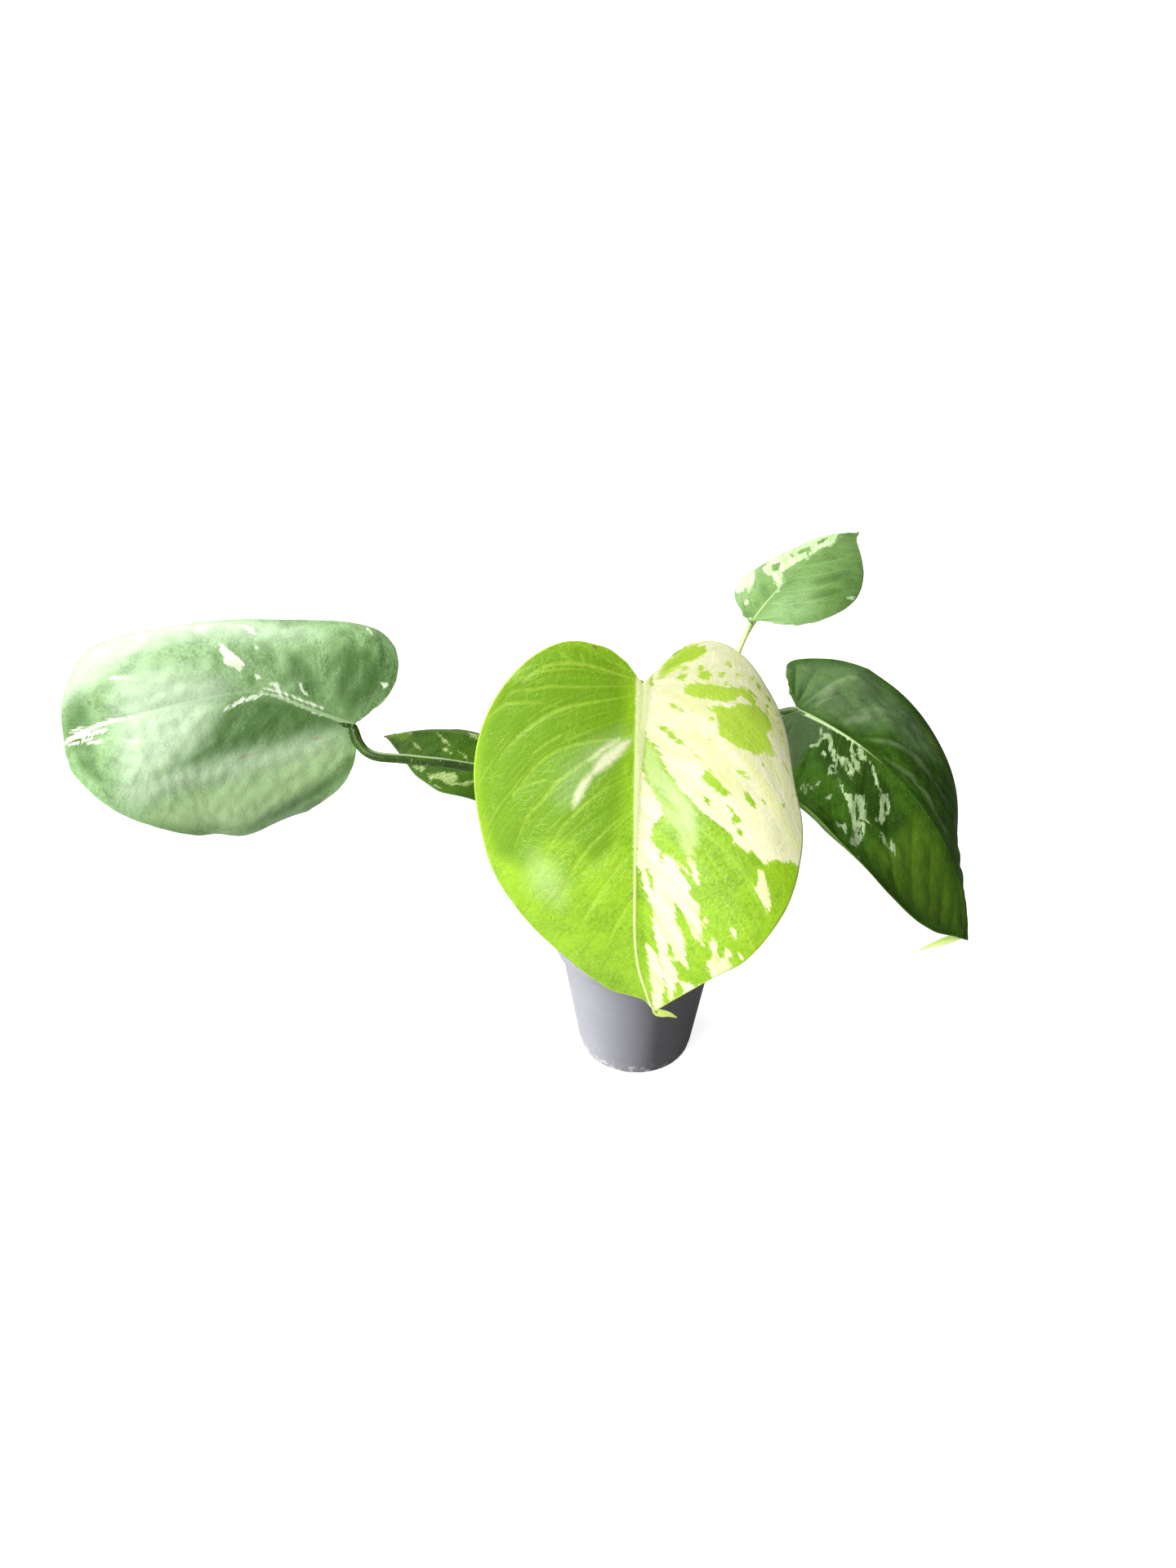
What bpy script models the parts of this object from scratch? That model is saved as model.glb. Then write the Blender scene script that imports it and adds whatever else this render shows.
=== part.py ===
# A young variegated monstera in its nursery pot: pot, soil, a short climbing stem, and five leaves,
# each with its own long petiole. All sizes below are in millimetres, +Z is up, and the origin is the
# middle of the pot's underside. Run with: blender --background --python part.py
import math

import bmesh
import bpy
import numpy as np
from mathutils import Matrix, Vector, noise

MM = 0.001                    # the scene is in metres
TOUCH_GAP = 0.3               # pieces that touch keep this much air between their meshes
WELD = 0.005                  # points closer than this are one
SHARP_ANGLE = 40.0            # edges that bend more than this are shaded sharp
QUARTER_ARC = (0, 30, 60, 90) # degrees at which a rounded corner gets its points

# Pot: an 11 cm tapered nursery pot
POT_HEIGHT = 100.0
POT_TOP_RADIUS = 55.0         # outside of the wall at the top
POT_BASE_RADIUS = 40.0
POT_WALL = 1.3
POT_FLOOR = 1.6
POT_HEEL = 3.0                # rounding between wall and underside
LIP_HEIGHT = 9.0
LIP_REACH = 2.2               # how far the lip stands out from the wall
LIP_ROUND = 0.8               # rounding of the lip's edges
POT_SIDES = 40
DRAIN_RADIUS = 3.5
DRAIN_CIRCLE = 25.0
DRAIN_COUNT = 5
DRAIN_SIDES = 14
DRAIN_CUT = 10.0              # length of the tool that cuts a drain hole

# Soil: a plug of potting mix that fills the pot to just under the lip
SOIL_TOP = 88.0
SOIL_LUMP = 1.6               # height of the lumps on its top, and their size
SOIL_LUMP_SIZE = 11.0
SOIL_EDGE = 3.0               # how far its top falls off towards the wall
SOIL_EDGE_WIDTH = 2.0
SOIL_HOLE_EDGE = 1.0          # the same round the stem
SOIL_RINGS = 7

# Stem: a short climbing stem that stands in a hole in the soil
STEM_FOOT = 60.0
STEM_HOLE_RADIUS = 6.2
STEM_PATH = [(0, 0, STEM_FOOT + TOUCH_GAP), (0, 0, 92), (1, 2, 108), (0, 5, 124), (-1, 7, 140), (-1, 8, 151)]
STEM_RADII = [5.0, 5.8, 5.4, 5.2, 4.6, 3.4]
STEM_STEPS = 14
STEM_SIDES = 4                # curve bevel resolution: twelve sides
NODE_SPACING = 16.0           # between the swellings where leaves have grown
NODE_SWELL = 0.08             # share of the radius that a swelling adds
SHEATH_RADIUS = 4.0           # of the sheath round a petiole's foot, inside the stem
SHEATH_STRAIGHT = 5.0         # straight run at the sheath's end, in line with the petiole
SHEATH_STEPS = 7
SHEATH_SIDES = 3
SHEATH_ROOT = 6.0             # how far below its node a sheath starts
SHEATH_SKIN = 0.2             # how much wider than its petiole a sheath ends

# Leaves: every blade is bent from the same flat heart shape
RIB_DEPTH = 3.2               # thickness at the midrib, where the petiole joins
RIB_TAPER = 0.75              # share of it lost from the base to the tip
BLADE_THICKNESS = 0.8
RIB_HALF_WIDTH = 1.7
RIB_END_GAP = 0.8             # from the rib's thick end back to the petiole's end
TIP_REACH = 1.02              # the drip tip ends a little past the nominal length
VEIN_SWEEP = 14.0             # degrees that a side vein bows towards the tip
VEIN_ARM = 0.45               # how far along a vein its bow is steered from
SLOPE_STEPS = 12              # steps in which a half's slope is added up, from rib to edge
RIB_STEPS = 105               # steps in which the midrib's bend is added up
RIB_REACH = 1.05              # share of the length that they cover
CURL_GROWTH = 1.5             # how a curl tightens towards the drip tip
PETIOLE_SIDES = 2             # curve bevel resolution: eight-sided petioles
PETIOLE_STEPS = 18
PETIOLE_KNEE = 4.0            # straight run at a petiole's end
PETIOLE_SLIM = 0.25           # share of its length where a petiole has narrowed from its foot
PETIOLE_WAIST = 0.2           # how much wider it is there than at its top
PETIOLE_CROWDING = 1.35       # its points lie closer towards the blade

# One half of the flat blade, from the notch at the petiole to the drip tip,
# as (share of the half width, share of the length)
HEART = [(0.13, -0.08), (0.30, -0.13), (0.50, -0.13), (0.73, -0.065), (0.92, 0.075), (1.0, 0.26),
         (0.95, 0.49), (0.81, 0.65), (0.59, 0.78), (0.36, 0.875), (0.17, 0.935), (0.06, 0.965), (0.0, 1.02)]

# How each blade is set and bent. Angles are in degrees.
#   base      where the midrib starts          length, width   the flat blade
#   heading   compass angle of the midrib, and how far it swings towards the tip
#   pitch     climb of the midrib: at the base, then its first and second order change along it
#   roll      lean of the blade about its midrib, at the base and its change along it
#   left      slope of the left half away from the midrib: at the rib, first and second order change
#   right     the same for the right half (left and right are seen from above with the tip ahead)
#   lobes     how far the two lobes reach back     halves   how wide the two halves are
#   fold      a valley fold through the left half: steepness, bearing from the midrib, softness
#   curl      the drip tip's curl, its bearing (0 to the right, 90 under, 180 to the left), and the
#             share of the length where it starts
#   node      height on the stem where the petiole leaves
#   hangs     whether the blade hangs back over the petiole
#   rows      steps from the notch to the tip     columns   steps from the midrib to the edge
#   petiole_radii   at the stem and at the blade
#   petiole   the points that its petiole passes, from the stem to just short of the blade
LEAVES = {
    "front": dict(
        base=(-6.4, -102.3, 341.1), length=176, width=171, heading=(-91, 15), pitch=(-62, 22, -50),
        roll=(-26, 52), left=(10, 14, -59), right=(5, -27, -7), lobes=(0.90, 0.84),
        halves=(1.06, 1.02), fold=None, curl=(95, 150, 0.94), node=151, hangs=True,
        rows=26, columns=8, petiole_radii=(2.6, 2.0),
        petiole=[(-2, 6, 166), (-3, -3, 205), (-4, -19, 250), (-6, -44, 295),
                 (-9, -70, 320), (-10, -88, 331)],
    ),
    "left": dict(
        base=(-172.1, -34.6, 279.6), length=188, width=173, heading=(195, -12), pitch=(26, -19, -69),
        roll=(-39, 47), left=(-33, -50, -15), right=(54, -49, -128), lobes=(0.25, 0.58),
        halves=(1.09, 0.91), fold=(0.25, -22, 5), curl=(70, 90, 0.88), node=136, hangs=False,
        rows=26, columns=8, petiole_radii=(2.5, 1.9),
        petiole=[(-12, 2, 150), (-26, -8, 182), (-50, -24, 218), (-78, -35, 243), (-110, -41, 255),
                 (-140, -44, 260), (-158, -44, 264), (-167, -38, 272)],
    ),
    "right": dict(
        base=(94.5, -3.6, 272.6), length=177, width=178, heading=(-44.5, -10), pitch=(-2, -39, -40),
        roll=(17.5, -47), left=(-11, -7, -10), right=(-21, -4, 76), lobes=(1.27, 1.0),
        halves=(0.99, 1.17), fold=None, curl=(80, 60, 0.93), node=126, hangs=False,
        rows=26, columns=8, petiole_radii=(2.5, 1.9),
        petiole=[(13, 5, 140), (24, 7, 172), (40, 9, 210), (62, 9, 246), (80, 5, 264)],
    ),
    "back": dict(
        base=(83.6, 145, 265), length=120, width=110, heading=(40, 13), pitch=(41, -52, 11),
        roll=(-31, 42), left=(-20, -5, 57), right=(2, -30, -22), lobes=(0.2, 0.2),
        halves=(0.93, 0.99), fold=None, curl=(40, 60, 0.93), node=116, hangs=False,
        rows=20, columns=6, petiole_radii=(2.3, 1.7),
        petiole=[(9, 13, 128), (20, 32, 152), (38, 64, 186), (58, 100, 220), (75, 132, 250)],
    ),
    "small": dict(
        base=(-70.4, 45.7, 200.5), length=108, width=110, heading=(180, 9), pitch=(50, -84, 24),
        roll=(-5, -1), left=(-28, 3, 49), right=(-27, -26, 26), lobes=(1.0, 1.0),
        halves=(1.13, 1.01), fold=None, curl=(30, 90, 0.93), node=110, hangs=False,
        rows=20, columns=6, petiole_radii=(2.2, 1.6),
        petiole=[(-12, 9, 121), (-24, 18, 138), (-42, 33, 163), (-60, 43, 187)],
    ),
}


def clear_scene():
    for old in list(bpy.data.objects):
        bpy.data.objects.remove(old, do_unlink=True)
    for old in list(bpy.data.collections):
        bpy.data.collections.remove(old)


def new_collection(name):
    collection = bpy.data.collections.new(name)
    bpy.context.scene.collection.children.link(collection)
    return collection


def plain_material(name, color, roughness):
    material = bpy.data.materials.new(name)
    material.use_nodes = True
    shader = material.node_tree.nodes["Principled BSDF"]
    shader.inputs["Base Color"].default_value = (*color, 1)
    shader.inputs["Roughness"].default_value = roughness
    shader.inputs["Metallic"].default_value = 0.0
    material.diffuse_color = (*color, 1)
    return material


def add_mesh_object(name, bm, material, collection):
    mesh = bpy.data.meshes.new(name)
    bm.to_mesh(mesh)
    bm.free()
    mesh.materials.append(material)
    mesh.shade_smooth()
    mesh.set_sharp_from_angle(angle=math.radians(SHARP_ANGLE))
    piece = bpy.data.objects.new(name, mesh)
    collection.objects.link(piece)
    return piece


def catmull_rom(points, shares):
    """Points on the smooth curve through the given ones, at shares of its length by chords."""
    points = np.array(points, float)
    padded = np.vstack([2 * points[0] - points[1], points, 2 * points[-1] - points[-2]])
    chords = np.linalg.norm(np.diff(points, axis=0), axis=1)
    marks = np.concatenate([[0], np.cumsum(chords)]) / chords.sum()
    k = np.clip(np.searchsorted(marks, shares, side="right") - 1, 0, len(points) - 2)
    t = ((shares - marks[k]) / (marks[k + 1] - marks[k]))[..., None]
    a, b, c, d = padded[k], padded[k + 1], padded[k + 2], padded[k + 3]
    return 0.5 * (2 * b + (c - a) * t + (2 * a - 5 * b + 4 * c - d) * t**2 + (3 * b - a - 3 * c + d) * t**3)


# Pot

def pot_wall_radius(z):
    """Outside radius of the pot's wall at height z."""
    return POT_BASE_RADIUS + (POT_TOP_RADIUS - POT_BASE_RADIUS) * z / POT_HEIGHT


def pot_profile():
    """Half section of the pot: floor, up the inside, over the lip, and down the outside."""
    lip_radius = POT_TOP_RADIUS + LIP_REACH
    lip_foot = POT_HEIGHT - LIP_HEIGHT
    corner = pot_wall_radius(POT_FLOOR + POT_HEEL) - POT_WALL - POT_HEEL
    inside = [(0, POT_FLOOR)]
    for turn in QUARTER_ARC:
        angle = math.radians(turn)
        inside.append((corner + POT_HEEL * math.sin(angle), POT_FLOOR + POT_HEEL * (1 - math.cos(angle))))
    inside += [(POT_TOP_RADIUS - POT_WALL, POT_HEIGHT - LIP_ROUND)]
    lip = [(POT_TOP_RADIUS - POT_WALL + LIP_ROUND, POT_HEIGHT), (lip_radius - LIP_ROUND, POT_HEIGHT),
           (lip_radius, POT_HEIGHT - LIP_ROUND), (lip_radius - LIP_ROUND, lip_foot),
           (pot_wall_radius(lip_foot), lip_foot)]
    heel = []
    for turn in QUARTER_ARC:
        angle = math.radians(turn)
        x = POT_BASE_RADIUS - POT_HEEL * (1 - math.cos(angle))
        heel.append((x, POT_HEEL * (1 - math.sin(angle))))
    return inside + lip + heel + [(0, 0)]


def turned(name, profile, sides, material, collection):
    """A turned solid: the half section spun once round the Z axis."""
    bm = bmesh.new()
    corners = [bm.verts.new((x * MM, 0, z * MM)) for x, z in profile]
    for first, second in zip(corners, corners[1:]):
        bm.edges.new((first, second))
    piece = add_mesh_object(name, bm, material, collection)
    spin = piece.modifiers.new("Turn", "SCREW")
    spin.steps = sides
    spin.render_steps = sides
    spin.use_merge_vertices = True
    spin.merge_threshold = WELD * MM
    spin.use_smooth_shade = True
    return piece


def make_pot(collection, cutters):
    gray = plain_material("nursery_pot_gray", (0.30, 0.30, 0.31), 0.5)
    pot = turned("pot", pot_profile(), POT_SIDES, gray, collection)
    bm = bmesh.new()
    for i in range(DRAIN_COUNT):
        angle = math.tau * (i + 0.5) / DRAIN_COUNT
        place = Matrix.Translation(Vector((math.cos(angle), math.sin(angle), 0)) * DRAIN_CIRCLE * MM)
        bmesh.ops.create_cone(bm, cap_ends=True, segments=DRAIN_SIDES, radius1=DRAIN_RADIUS * MM,
                              radius2=DRAIN_RADIUS * MM, depth=DRAIN_CUT * MM, matrix=place)
    drains = add_mesh_object("drain_cutter", bm, gray, cutters)
    drains.hide_render = True
    drains.display_type = "WIRE"
    holes = pot.modifiers.new("Drain holes", "BOOLEAN")
    holes.operation = "DIFFERENCE"
    holes.solver = "EXACT"
    holes.object = drains
    return pot


# Soil

def make_soil(collection):
    """Potting mix with a plain hole for the stem and a lumpy top."""
    brown = plain_material("potting_mix", (0.09, 0.06, 0.04), 0.95)
    floor = POT_FLOOR + TOUCH_GAP
    wall_gap = POT_WALL + TOUCH_GAP

    def wall(z):
        return pot_wall_radius(z) - wall_gap

    edge_top = SOIL_TOP - SOIL_EDGE
    rings = np.linspace(STEM_HOLE_RADIUS + SOIL_HOLE_EDGE, wall(edge_top) - SOIL_EDGE_WIDTH, SOIL_RINGS + 1)
    profile = [(0, STEM_FOOT), (STEM_HOLE_RADIUS, STEM_FOOT), (STEM_HOLE_RADIUS, SOIL_TOP - SOIL_HOLE_EDGE)]
    profile += [(r, SOIL_TOP) for r in rings]
    profile += [(wall(edge_top), edge_top), (wall(SOIL_TOP / 2), SOIL_TOP / 2)]
    profile += [(wall(floor + POT_HEEL), floor + POT_HEEL), (wall(floor) - POT_HEEL, floor), (0, floor)]
    bm = bmesh.new()
    corners = [bm.verts.new((x * MM, 0, z * MM)) for x, z in profile]
    edges = [bm.edges.new(pair) for pair in zip(corners, corners[1:])]
    bmesh.ops.spin(bm, geom=corners + edges, cent=(0, 0, 0), axis=(0, 0, 1), angle=math.tau,
                   steps=POT_SIDES, use_merge=True)
    bmesh.ops.remove_doubles(bm, verts=bm.verts, dist=WELD * MM)
    for vert in bm.verts:
        if vert.co.z > (SOIL_TOP - SOIL_HOLE_EDGE / 2) * MM:
            place = vert.co / (SOIL_LUMP_SIZE * MM)
            vert.co.z += noise.fractal(place, 1.0, 2.0, 3) * SOIL_LUMP * MM
    bmesh.ops.recalc_face_normals(bm, faces=bm.faces)
    return add_mesh_object("soil", bm, brown, collection)


# Stem and petioles

def tube_curve(name, points, radii, sides, material, collection):
    """A round rod along the points, as a curve with filled caps and a radius at each point."""
    curve = bpy.data.curves.new(name, "CURVE")
    curve.dimensions = "3D"
    curve.bevel_depth = MM
    curve.bevel_resolution = sides
    curve.use_fill_caps = True
    curve.materials.append(material)
    spline = curve.splines.new("POLY")
    spline.points.add(len(points) - 1)
    for point, place, radius in zip(spline.points, points, radii):
        point.co = (*(np.array(place) * MM), 1)
        point.radius = radius
    spline.use_smooth = True
    piece = bpy.data.objects.new(name, curve)
    collection.objects.link(piece)
    return piece


def curve_to_mesh(piece, collection):
    """The same rod as a closed mesh with its caps welded on, so that it can be joined."""
    bpy.context.view_layer.update()
    graph = bpy.context.evaluated_depsgraph_get()
    mesh = bpy.data.meshes.new_from_object(piece.evaluated_get(graph))
    bm = bmesh.new()
    bm.from_mesh(mesh)
    bmesh.ops.remove_doubles(bm, verts=bm.verts, dist=WELD * MM)
    bm.to_mesh(mesh)
    bm.free()
    solid = bpy.data.objects.new(piece.name + "_solid", mesh)
    solid.matrix_world = piece.matrix_world
    collection.objects.link(solid)
    bpy.data.objects.remove(piece, do_unlink=True)
    return solid


def unit(vector):
    return vector / np.linalg.norm(vector)


def stem_axis(height):
    """The point on the stem's middle line at a height."""
    x, y, z = np.array(STEM_PATH, float).T
    return np.array([np.interp(height, z, x), np.interp(height, z, y), height])


def make_stem(collection):
    """The climbing stem, with the sheath that it grew round the foot of each petiole."""
    green = plain_material("stem_green", (0.20, 0.27, 0.08), 0.55)
    shares = np.linspace(0, 1, STEM_STEPS)
    body = catmull_rom([(*place, radius) for place, radius in zip(STEM_PATH, STEM_RADII)], shares)
    swell = 1 + NODE_SWELL * np.cos((body[:, 2] - STEM_PATH[2][2]) / NODE_SPACING * math.tau)
    rod = tube_curve("stem_rod", body[:, :3], body[:, 3] * swell, STEM_SIDES, green, collection)
    stem = curve_to_mesh(rod, collection)
    stem.name = "stem"
    stem.data.name = "stem"
    sheaths = new_collection("sheaths to join")
    for name, leaf in LEAVES.items():
        root = stem_axis(leaf["node"] - SHEATH_ROOT)
        start, after = (np.array(place, float) for place in leaf["petiole"][:2])
        heading = unit(after - start)
        end = start - heading * TOUCH_GAP
        bend = catmull_rom([root, end - heading * SHEATH_STRAIGHT, end], np.linspace(0, 1, SHEATH_STEPS))
        radii = np.linspace(SHEATH_RADIUS, leaf["petiole_radii"][0] + SHEATH_SKIN, SHEATH_STEPS)
        curve_to_mesh(tube_curve("sheath_" + name, bend, radii, SHEATH_SIDES, green, sheaths), sheaths)
    join = stem.modifiers.new("Join sheaths", "BOOLEAN")
    join.operation = "UNION"
    join.solver = "EXACT"
    join.operand_type = "COLLECTION"
    join.collection = sheaths
    bpy.context.view_layer.update()
    graph = bpy.context.evaluated_depsgraph_get()
    joined = bpy.data.meshes.new_from_object(stem.evaluated_get(graph))
    stem.modifiers.clear()
    stem.data = joined
    for old in list(sheaths.objects):
        bpy.data.objects.remove(old, do_unlink=True)
    bpy.data.collections.remove(sheaths)
    return stem


def petiole_end(leaf):
    """Where a petiole stops, and the way it points there. It ends under the blade's notch in line with
    the rib, or, where the blade hangs back over it, square against the underside of the rib."""
    _, tangents, normals = midrib(leaf, np.array([0.0]))
    tangent, normal, base = tangents[0], normals[0], np.array(leaf["base"])
    if leaf["hangs"]:
        return base + tangent * RIB_HALF_WIDTH - normal * (RIB_DEPTH + TOUCH_GAP), normal
    droop = math.radians(max(0, -leaf["left"][0], -leaf["right"][0]))
    radius = leaf["petiole_radii"][1]
    under = BLADE_THICKNESS + TOUCH_GAP + radius * (1 + math.tan(droop))
    return base - normal * under - tangent * RIB_END_GAP, tangent


def make_petiole(name, leaf, material, collection):
    end, heading = petiole_end(leaf)
    route = leaf["petiole"] + [tuple(end - heading * PETIOLE_KNEE), tuple(end)]
    shares = 1 - (1 - np.linspace(0, 1, PETIOLE_STEPS)) ** PETIOLE_CROWDING
    points = catmull_rom(route, shares)
    foot, top = leaf["petiole_radii"]
    radii = np.interp(shares, [0, PETIOLE_SLIM, 1], [foot, top + PETIOLE_WAIST, top])
    return tube_curve("petiole_" + name, points, radii, PETIOLE_SIDES, material, collection)


# Blades

def midrib(leaf, along):
    """Middle line of a blade at shares of its length: points from the base, directions, upward normals."""
    x = np.linspace(0, RIB_REACH, RIB_STEPS + 1)
    pitch = np.radians(np.polyval(leaf["pitch"][::-1], x))
    yaw = np.radians(leaf["heading"][0] + leaf["heading"][1] * x**2)
    roll = np.radians(leaf["roll"][0] + leaf["roll"][1] * x)[:, None]
    tangent = np.stack([np.cos(yaw) * np.cos(pitch), np.sin(yaw) * np.cos(pitch), np.sin(pitch)], -1)
    right = np.stack([np.sin(yaw), -np.cos(yaw), 0 * yaw], -1)
    normal = np.cross(right, tangent) * np.cos(roll) + right * np.sin(roll)
    across = np.cross(tangent, normal)
    turn, bearing, start = math.radians(leaf["curl"][0]), math.radians(leaf["curl"][1]), leaf["curl"][2]
    angle = (turn * np.clip((x - start) / (TIP_REACH - start), 0, 1) ** CURL_GROWTH)[:, None]
    towards = across * math.cos(bearing) - normal * math.sin(bearing)
    lean = -math.sin(bearing)
    curled_tangent = tangent * np.cos(angle) + towards * np.sin(angle)
    curled_normal = normal + (np.cos(angle) - 1) * lean * towards - np.sin(angle) * lean * tangent
    step = leaf["length"] * (x[1] - x[0])
    travel = np.cumsum((curled_tangent[1:] + curled_tangent[:-1]) / 2 * step, axis=0)
    line = np.vstack([np.zeros(3), travel])

    def at(table):
        return np.stack([np.interp(along, x, table[:, k]) for k in range(3)], -1)

    tangents, normals = at(curled_tangent), at(curled_normal)
    tangents /= np.linalg.norm(tangents, axis=-1, keepdims=True)
    normals /= np.linalg.norm(normals, axis=-1, keepdims=True)
    return at(line), tangents, normals


def flat_blade(leaf, s, t):
    """Place on the flat blade, across and along, of a point at share s of the outline from notch to
    tip, and share t of the way from the midrib to the edge (left side negative)."""
    side = np.where(t < 0, 0, 1)
    sign = np.where(t < 0, -1.0, 1.0)
    edge = catmull_rom(HEART, s)
    reach = np.array(leaf["lobes"])[side]
    edge_y = np.where(edge[..., 1] < 0, edge[..., 1] * reach, edge[..., 1]) * leaf["length"]
    edge_x = edge[..., 0] * np.array(leaf["halves"])[side] * leaf["width"] / 2
    root_y = TIP_REACH * leaf["length"] * s**2
    chord_x, chord_y = edge_x, edge_y - root_y
    chord = np.hypot(chord_x, chord_y)
    angle = np.arctan2(chord_x, chord_y) + math.radians(VEIN_SWEEP) * np.sin(math.pi * s)
    arm = VEIN_ARM * chord
    bow_x, bow_y = arm * np.sin(angle), root_y + arm * np.cos(angle)
    first = 1 / leaf["columns"]
    near_rib = np.minimum(RIB_HALF_WIDTH / np.maximum(chord, WELD), first)
    t = np.abs(t)
    t = np.where(t <= first, t / first * near_rib, near_rib + (t - first) / (1 - first) * (1 - near_rib))
    across = 2 * t * (1 - t) * bow_x + t**2 * edge_x
    along = (1 - t) ** 2 * root_y + 2 * t * (1 - t) * bow_y + t**2 * edge_y
    return sign * across, along


def bent_blade(leaf, across, along):
    """The point in space, in millimetres, of a place on the flat blade."""
    share = np.clip(along / leaf["length"], 0, RIB_REACH)
    line, tangent, normal = midrib(leaf, share)
    line = line + tangent * (along - share * leaf["length"])[:, None]
    right = np.cross(tangent, normal)
    is_right = across > 0
    out = np.abs(across) / (leaf["width"] / 2)
    slopes = [np.where(is_right, r, l) for l, r in zip(leaf["left"], leaf["right"])]
    sideways, height = np.zeros(len(across)), np.zeros(len(across))
    for i in range(SLOPE_STEPS):
        here = out * (i + 0.5) / SLOPE_STEPS
        slope = np.radians(slopes[0] + slopes[1] * here + slopes[2] * here**2)
        sideways += across / SLOPE_STEPS * np.cos(slope)
        height += np.abs(across) / SLOPE_STEPS * np.sin(slope)
    if leaf["fold"]:
        steepness, bearing, soft = leaf["fold"]
        c, s = math.cos(math.radians(bearing)), math.sin(math.radians(bearing))
        past = np.logaddexp(0, (along * s - across * c) / soft) - np.logaddexp(0, along * s / soft)
        height += np.where(is_right, 0, steepness * soft * past)
    return np.array(leaf["base"]) + line + right * sideways[:, None] + normal * height[:, None]


def make_blade(name, leaf, material, collection):
    """A heart-shaped blade: a grid bent to shape, then thickened below, most along the midrib."""
    bm = bmesh.new()
    bmesh.ops.create_grid(bm, x_segments=2 * leaf["columns"], y_segments=leaf["rows"], size=1)
    grid = np.array([vert.co for vert in bm.verts])
    s, t = (grid[:, 1] + 1) / 2, grid[:, 0]
    places = bent_blade(leaf, *flat_blade(leaf, s, t)) * MM
    on_rib = np.abs(t) < 0.5 / leaf["columns"]
    rib = 1 - RIB_TAPER * s**2
    thickness = np.where(on_rib, np.maximum(RIB_DEPTH * rib, BLADE_THICKNESS), BLADE_THICKNESS)
    weights = bm.verts.layers.deform.verify()
    for vert, place, depth in zip(bm.verts, places, thickness):
        vert.co = place
        vert[weights][0] = depth / RIB_DEPTH
    bmesh.ops.remove_doubles(bm, verts=bm.verts, dist=WELD * MM)
    bmesh.ops.triangulate(bm, faces=bm.faces, quad_method="SHORT_EDGE")
    blade = add_mesh_object("blade_" + name, bm, material, collection)
    blade.vertex_groups.new(name="thickness")
    shell = blade.modifiers.new("Thickness", "SOLIDIFY")
    shell.thickness = RIB_DEPTH * MM
    shell.offset = -1
    shell.vertex_group = "thickness"
    return blade


def main():
    clear_scene()
    plant = new_collection("potted swiss cheese plant")
    cutters = new_collection("cutters")
    make_pot(plant, cutters)
    make_soil(plant)
    make_stem(plant)
    colors = {"front": (0.42, 0.60, 0.10), "left": (0.20, 0.36, 0.12), "right": (0.12, 0.26, 0.09),
              "back": (0.25, 0.42, 0.13), "small": (0.10, 0.17, 0.06)}
    petiole_green = plain_material("petiole_green", (0.30, 0.42, 0.12), 0.45)
    for name, leaf in LEAVES.items():
        make_petiole(name, leaf, petiole_green, plant)
        make_blade(name, leaf, plain_material("blade_" + name, colors[name], 0.35), plant)


main()
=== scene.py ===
# %% [markdown]
# # A young variegated monstera in its nursery pot
#
# Five heart-shaped leaves on long stalks climb out of one short stem in a gray plastic pot. The lesson loads
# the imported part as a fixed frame, then gives every piece the surface that the real plant has: blades with
# veins, quilting and cream variegation, fleshy stalks, a ringed stem, loose potting mix and moulded plastic.
# Lengths are in millimetres where a name or a comment doesn't say otherwise; `MM` turns them into metres.

import math

import bmesh
import bpy
import numpy as np
from mathutils import Euler, Matrix, Vector, noise


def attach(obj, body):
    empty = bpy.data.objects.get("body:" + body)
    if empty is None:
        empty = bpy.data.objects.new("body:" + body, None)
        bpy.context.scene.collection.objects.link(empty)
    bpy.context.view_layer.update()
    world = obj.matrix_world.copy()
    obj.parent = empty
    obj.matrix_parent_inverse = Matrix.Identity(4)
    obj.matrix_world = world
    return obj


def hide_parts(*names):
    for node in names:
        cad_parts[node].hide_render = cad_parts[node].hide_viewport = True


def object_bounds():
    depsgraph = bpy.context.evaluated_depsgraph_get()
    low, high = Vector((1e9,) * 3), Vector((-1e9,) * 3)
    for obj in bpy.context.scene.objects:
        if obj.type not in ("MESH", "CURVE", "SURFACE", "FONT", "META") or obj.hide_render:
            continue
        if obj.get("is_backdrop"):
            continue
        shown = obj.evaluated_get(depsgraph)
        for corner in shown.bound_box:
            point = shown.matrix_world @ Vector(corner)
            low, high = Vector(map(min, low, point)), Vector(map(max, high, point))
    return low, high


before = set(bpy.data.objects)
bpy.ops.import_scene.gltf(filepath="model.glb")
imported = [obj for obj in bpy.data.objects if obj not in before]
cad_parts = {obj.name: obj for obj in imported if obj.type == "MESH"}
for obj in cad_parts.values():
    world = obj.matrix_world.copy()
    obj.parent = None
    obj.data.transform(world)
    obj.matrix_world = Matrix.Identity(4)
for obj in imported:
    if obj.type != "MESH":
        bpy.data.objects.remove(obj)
cad_box = [list(corner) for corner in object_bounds()]
MM = 0.001
print("nodes of the frame:", sorted(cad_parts))

# %% [markdown]
# ## Camera
#
# The photograph looks down on the plant at about 32 degrees from 0.9 m away. The camera was fitted to the
# pot, whose real size is known, so that the picture's scale is right too. Markings on the leaves are read
# from the photograph later on, so the same numbers also tell where a point in space shows in its 1440 by
# 1920 pixels.

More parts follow.
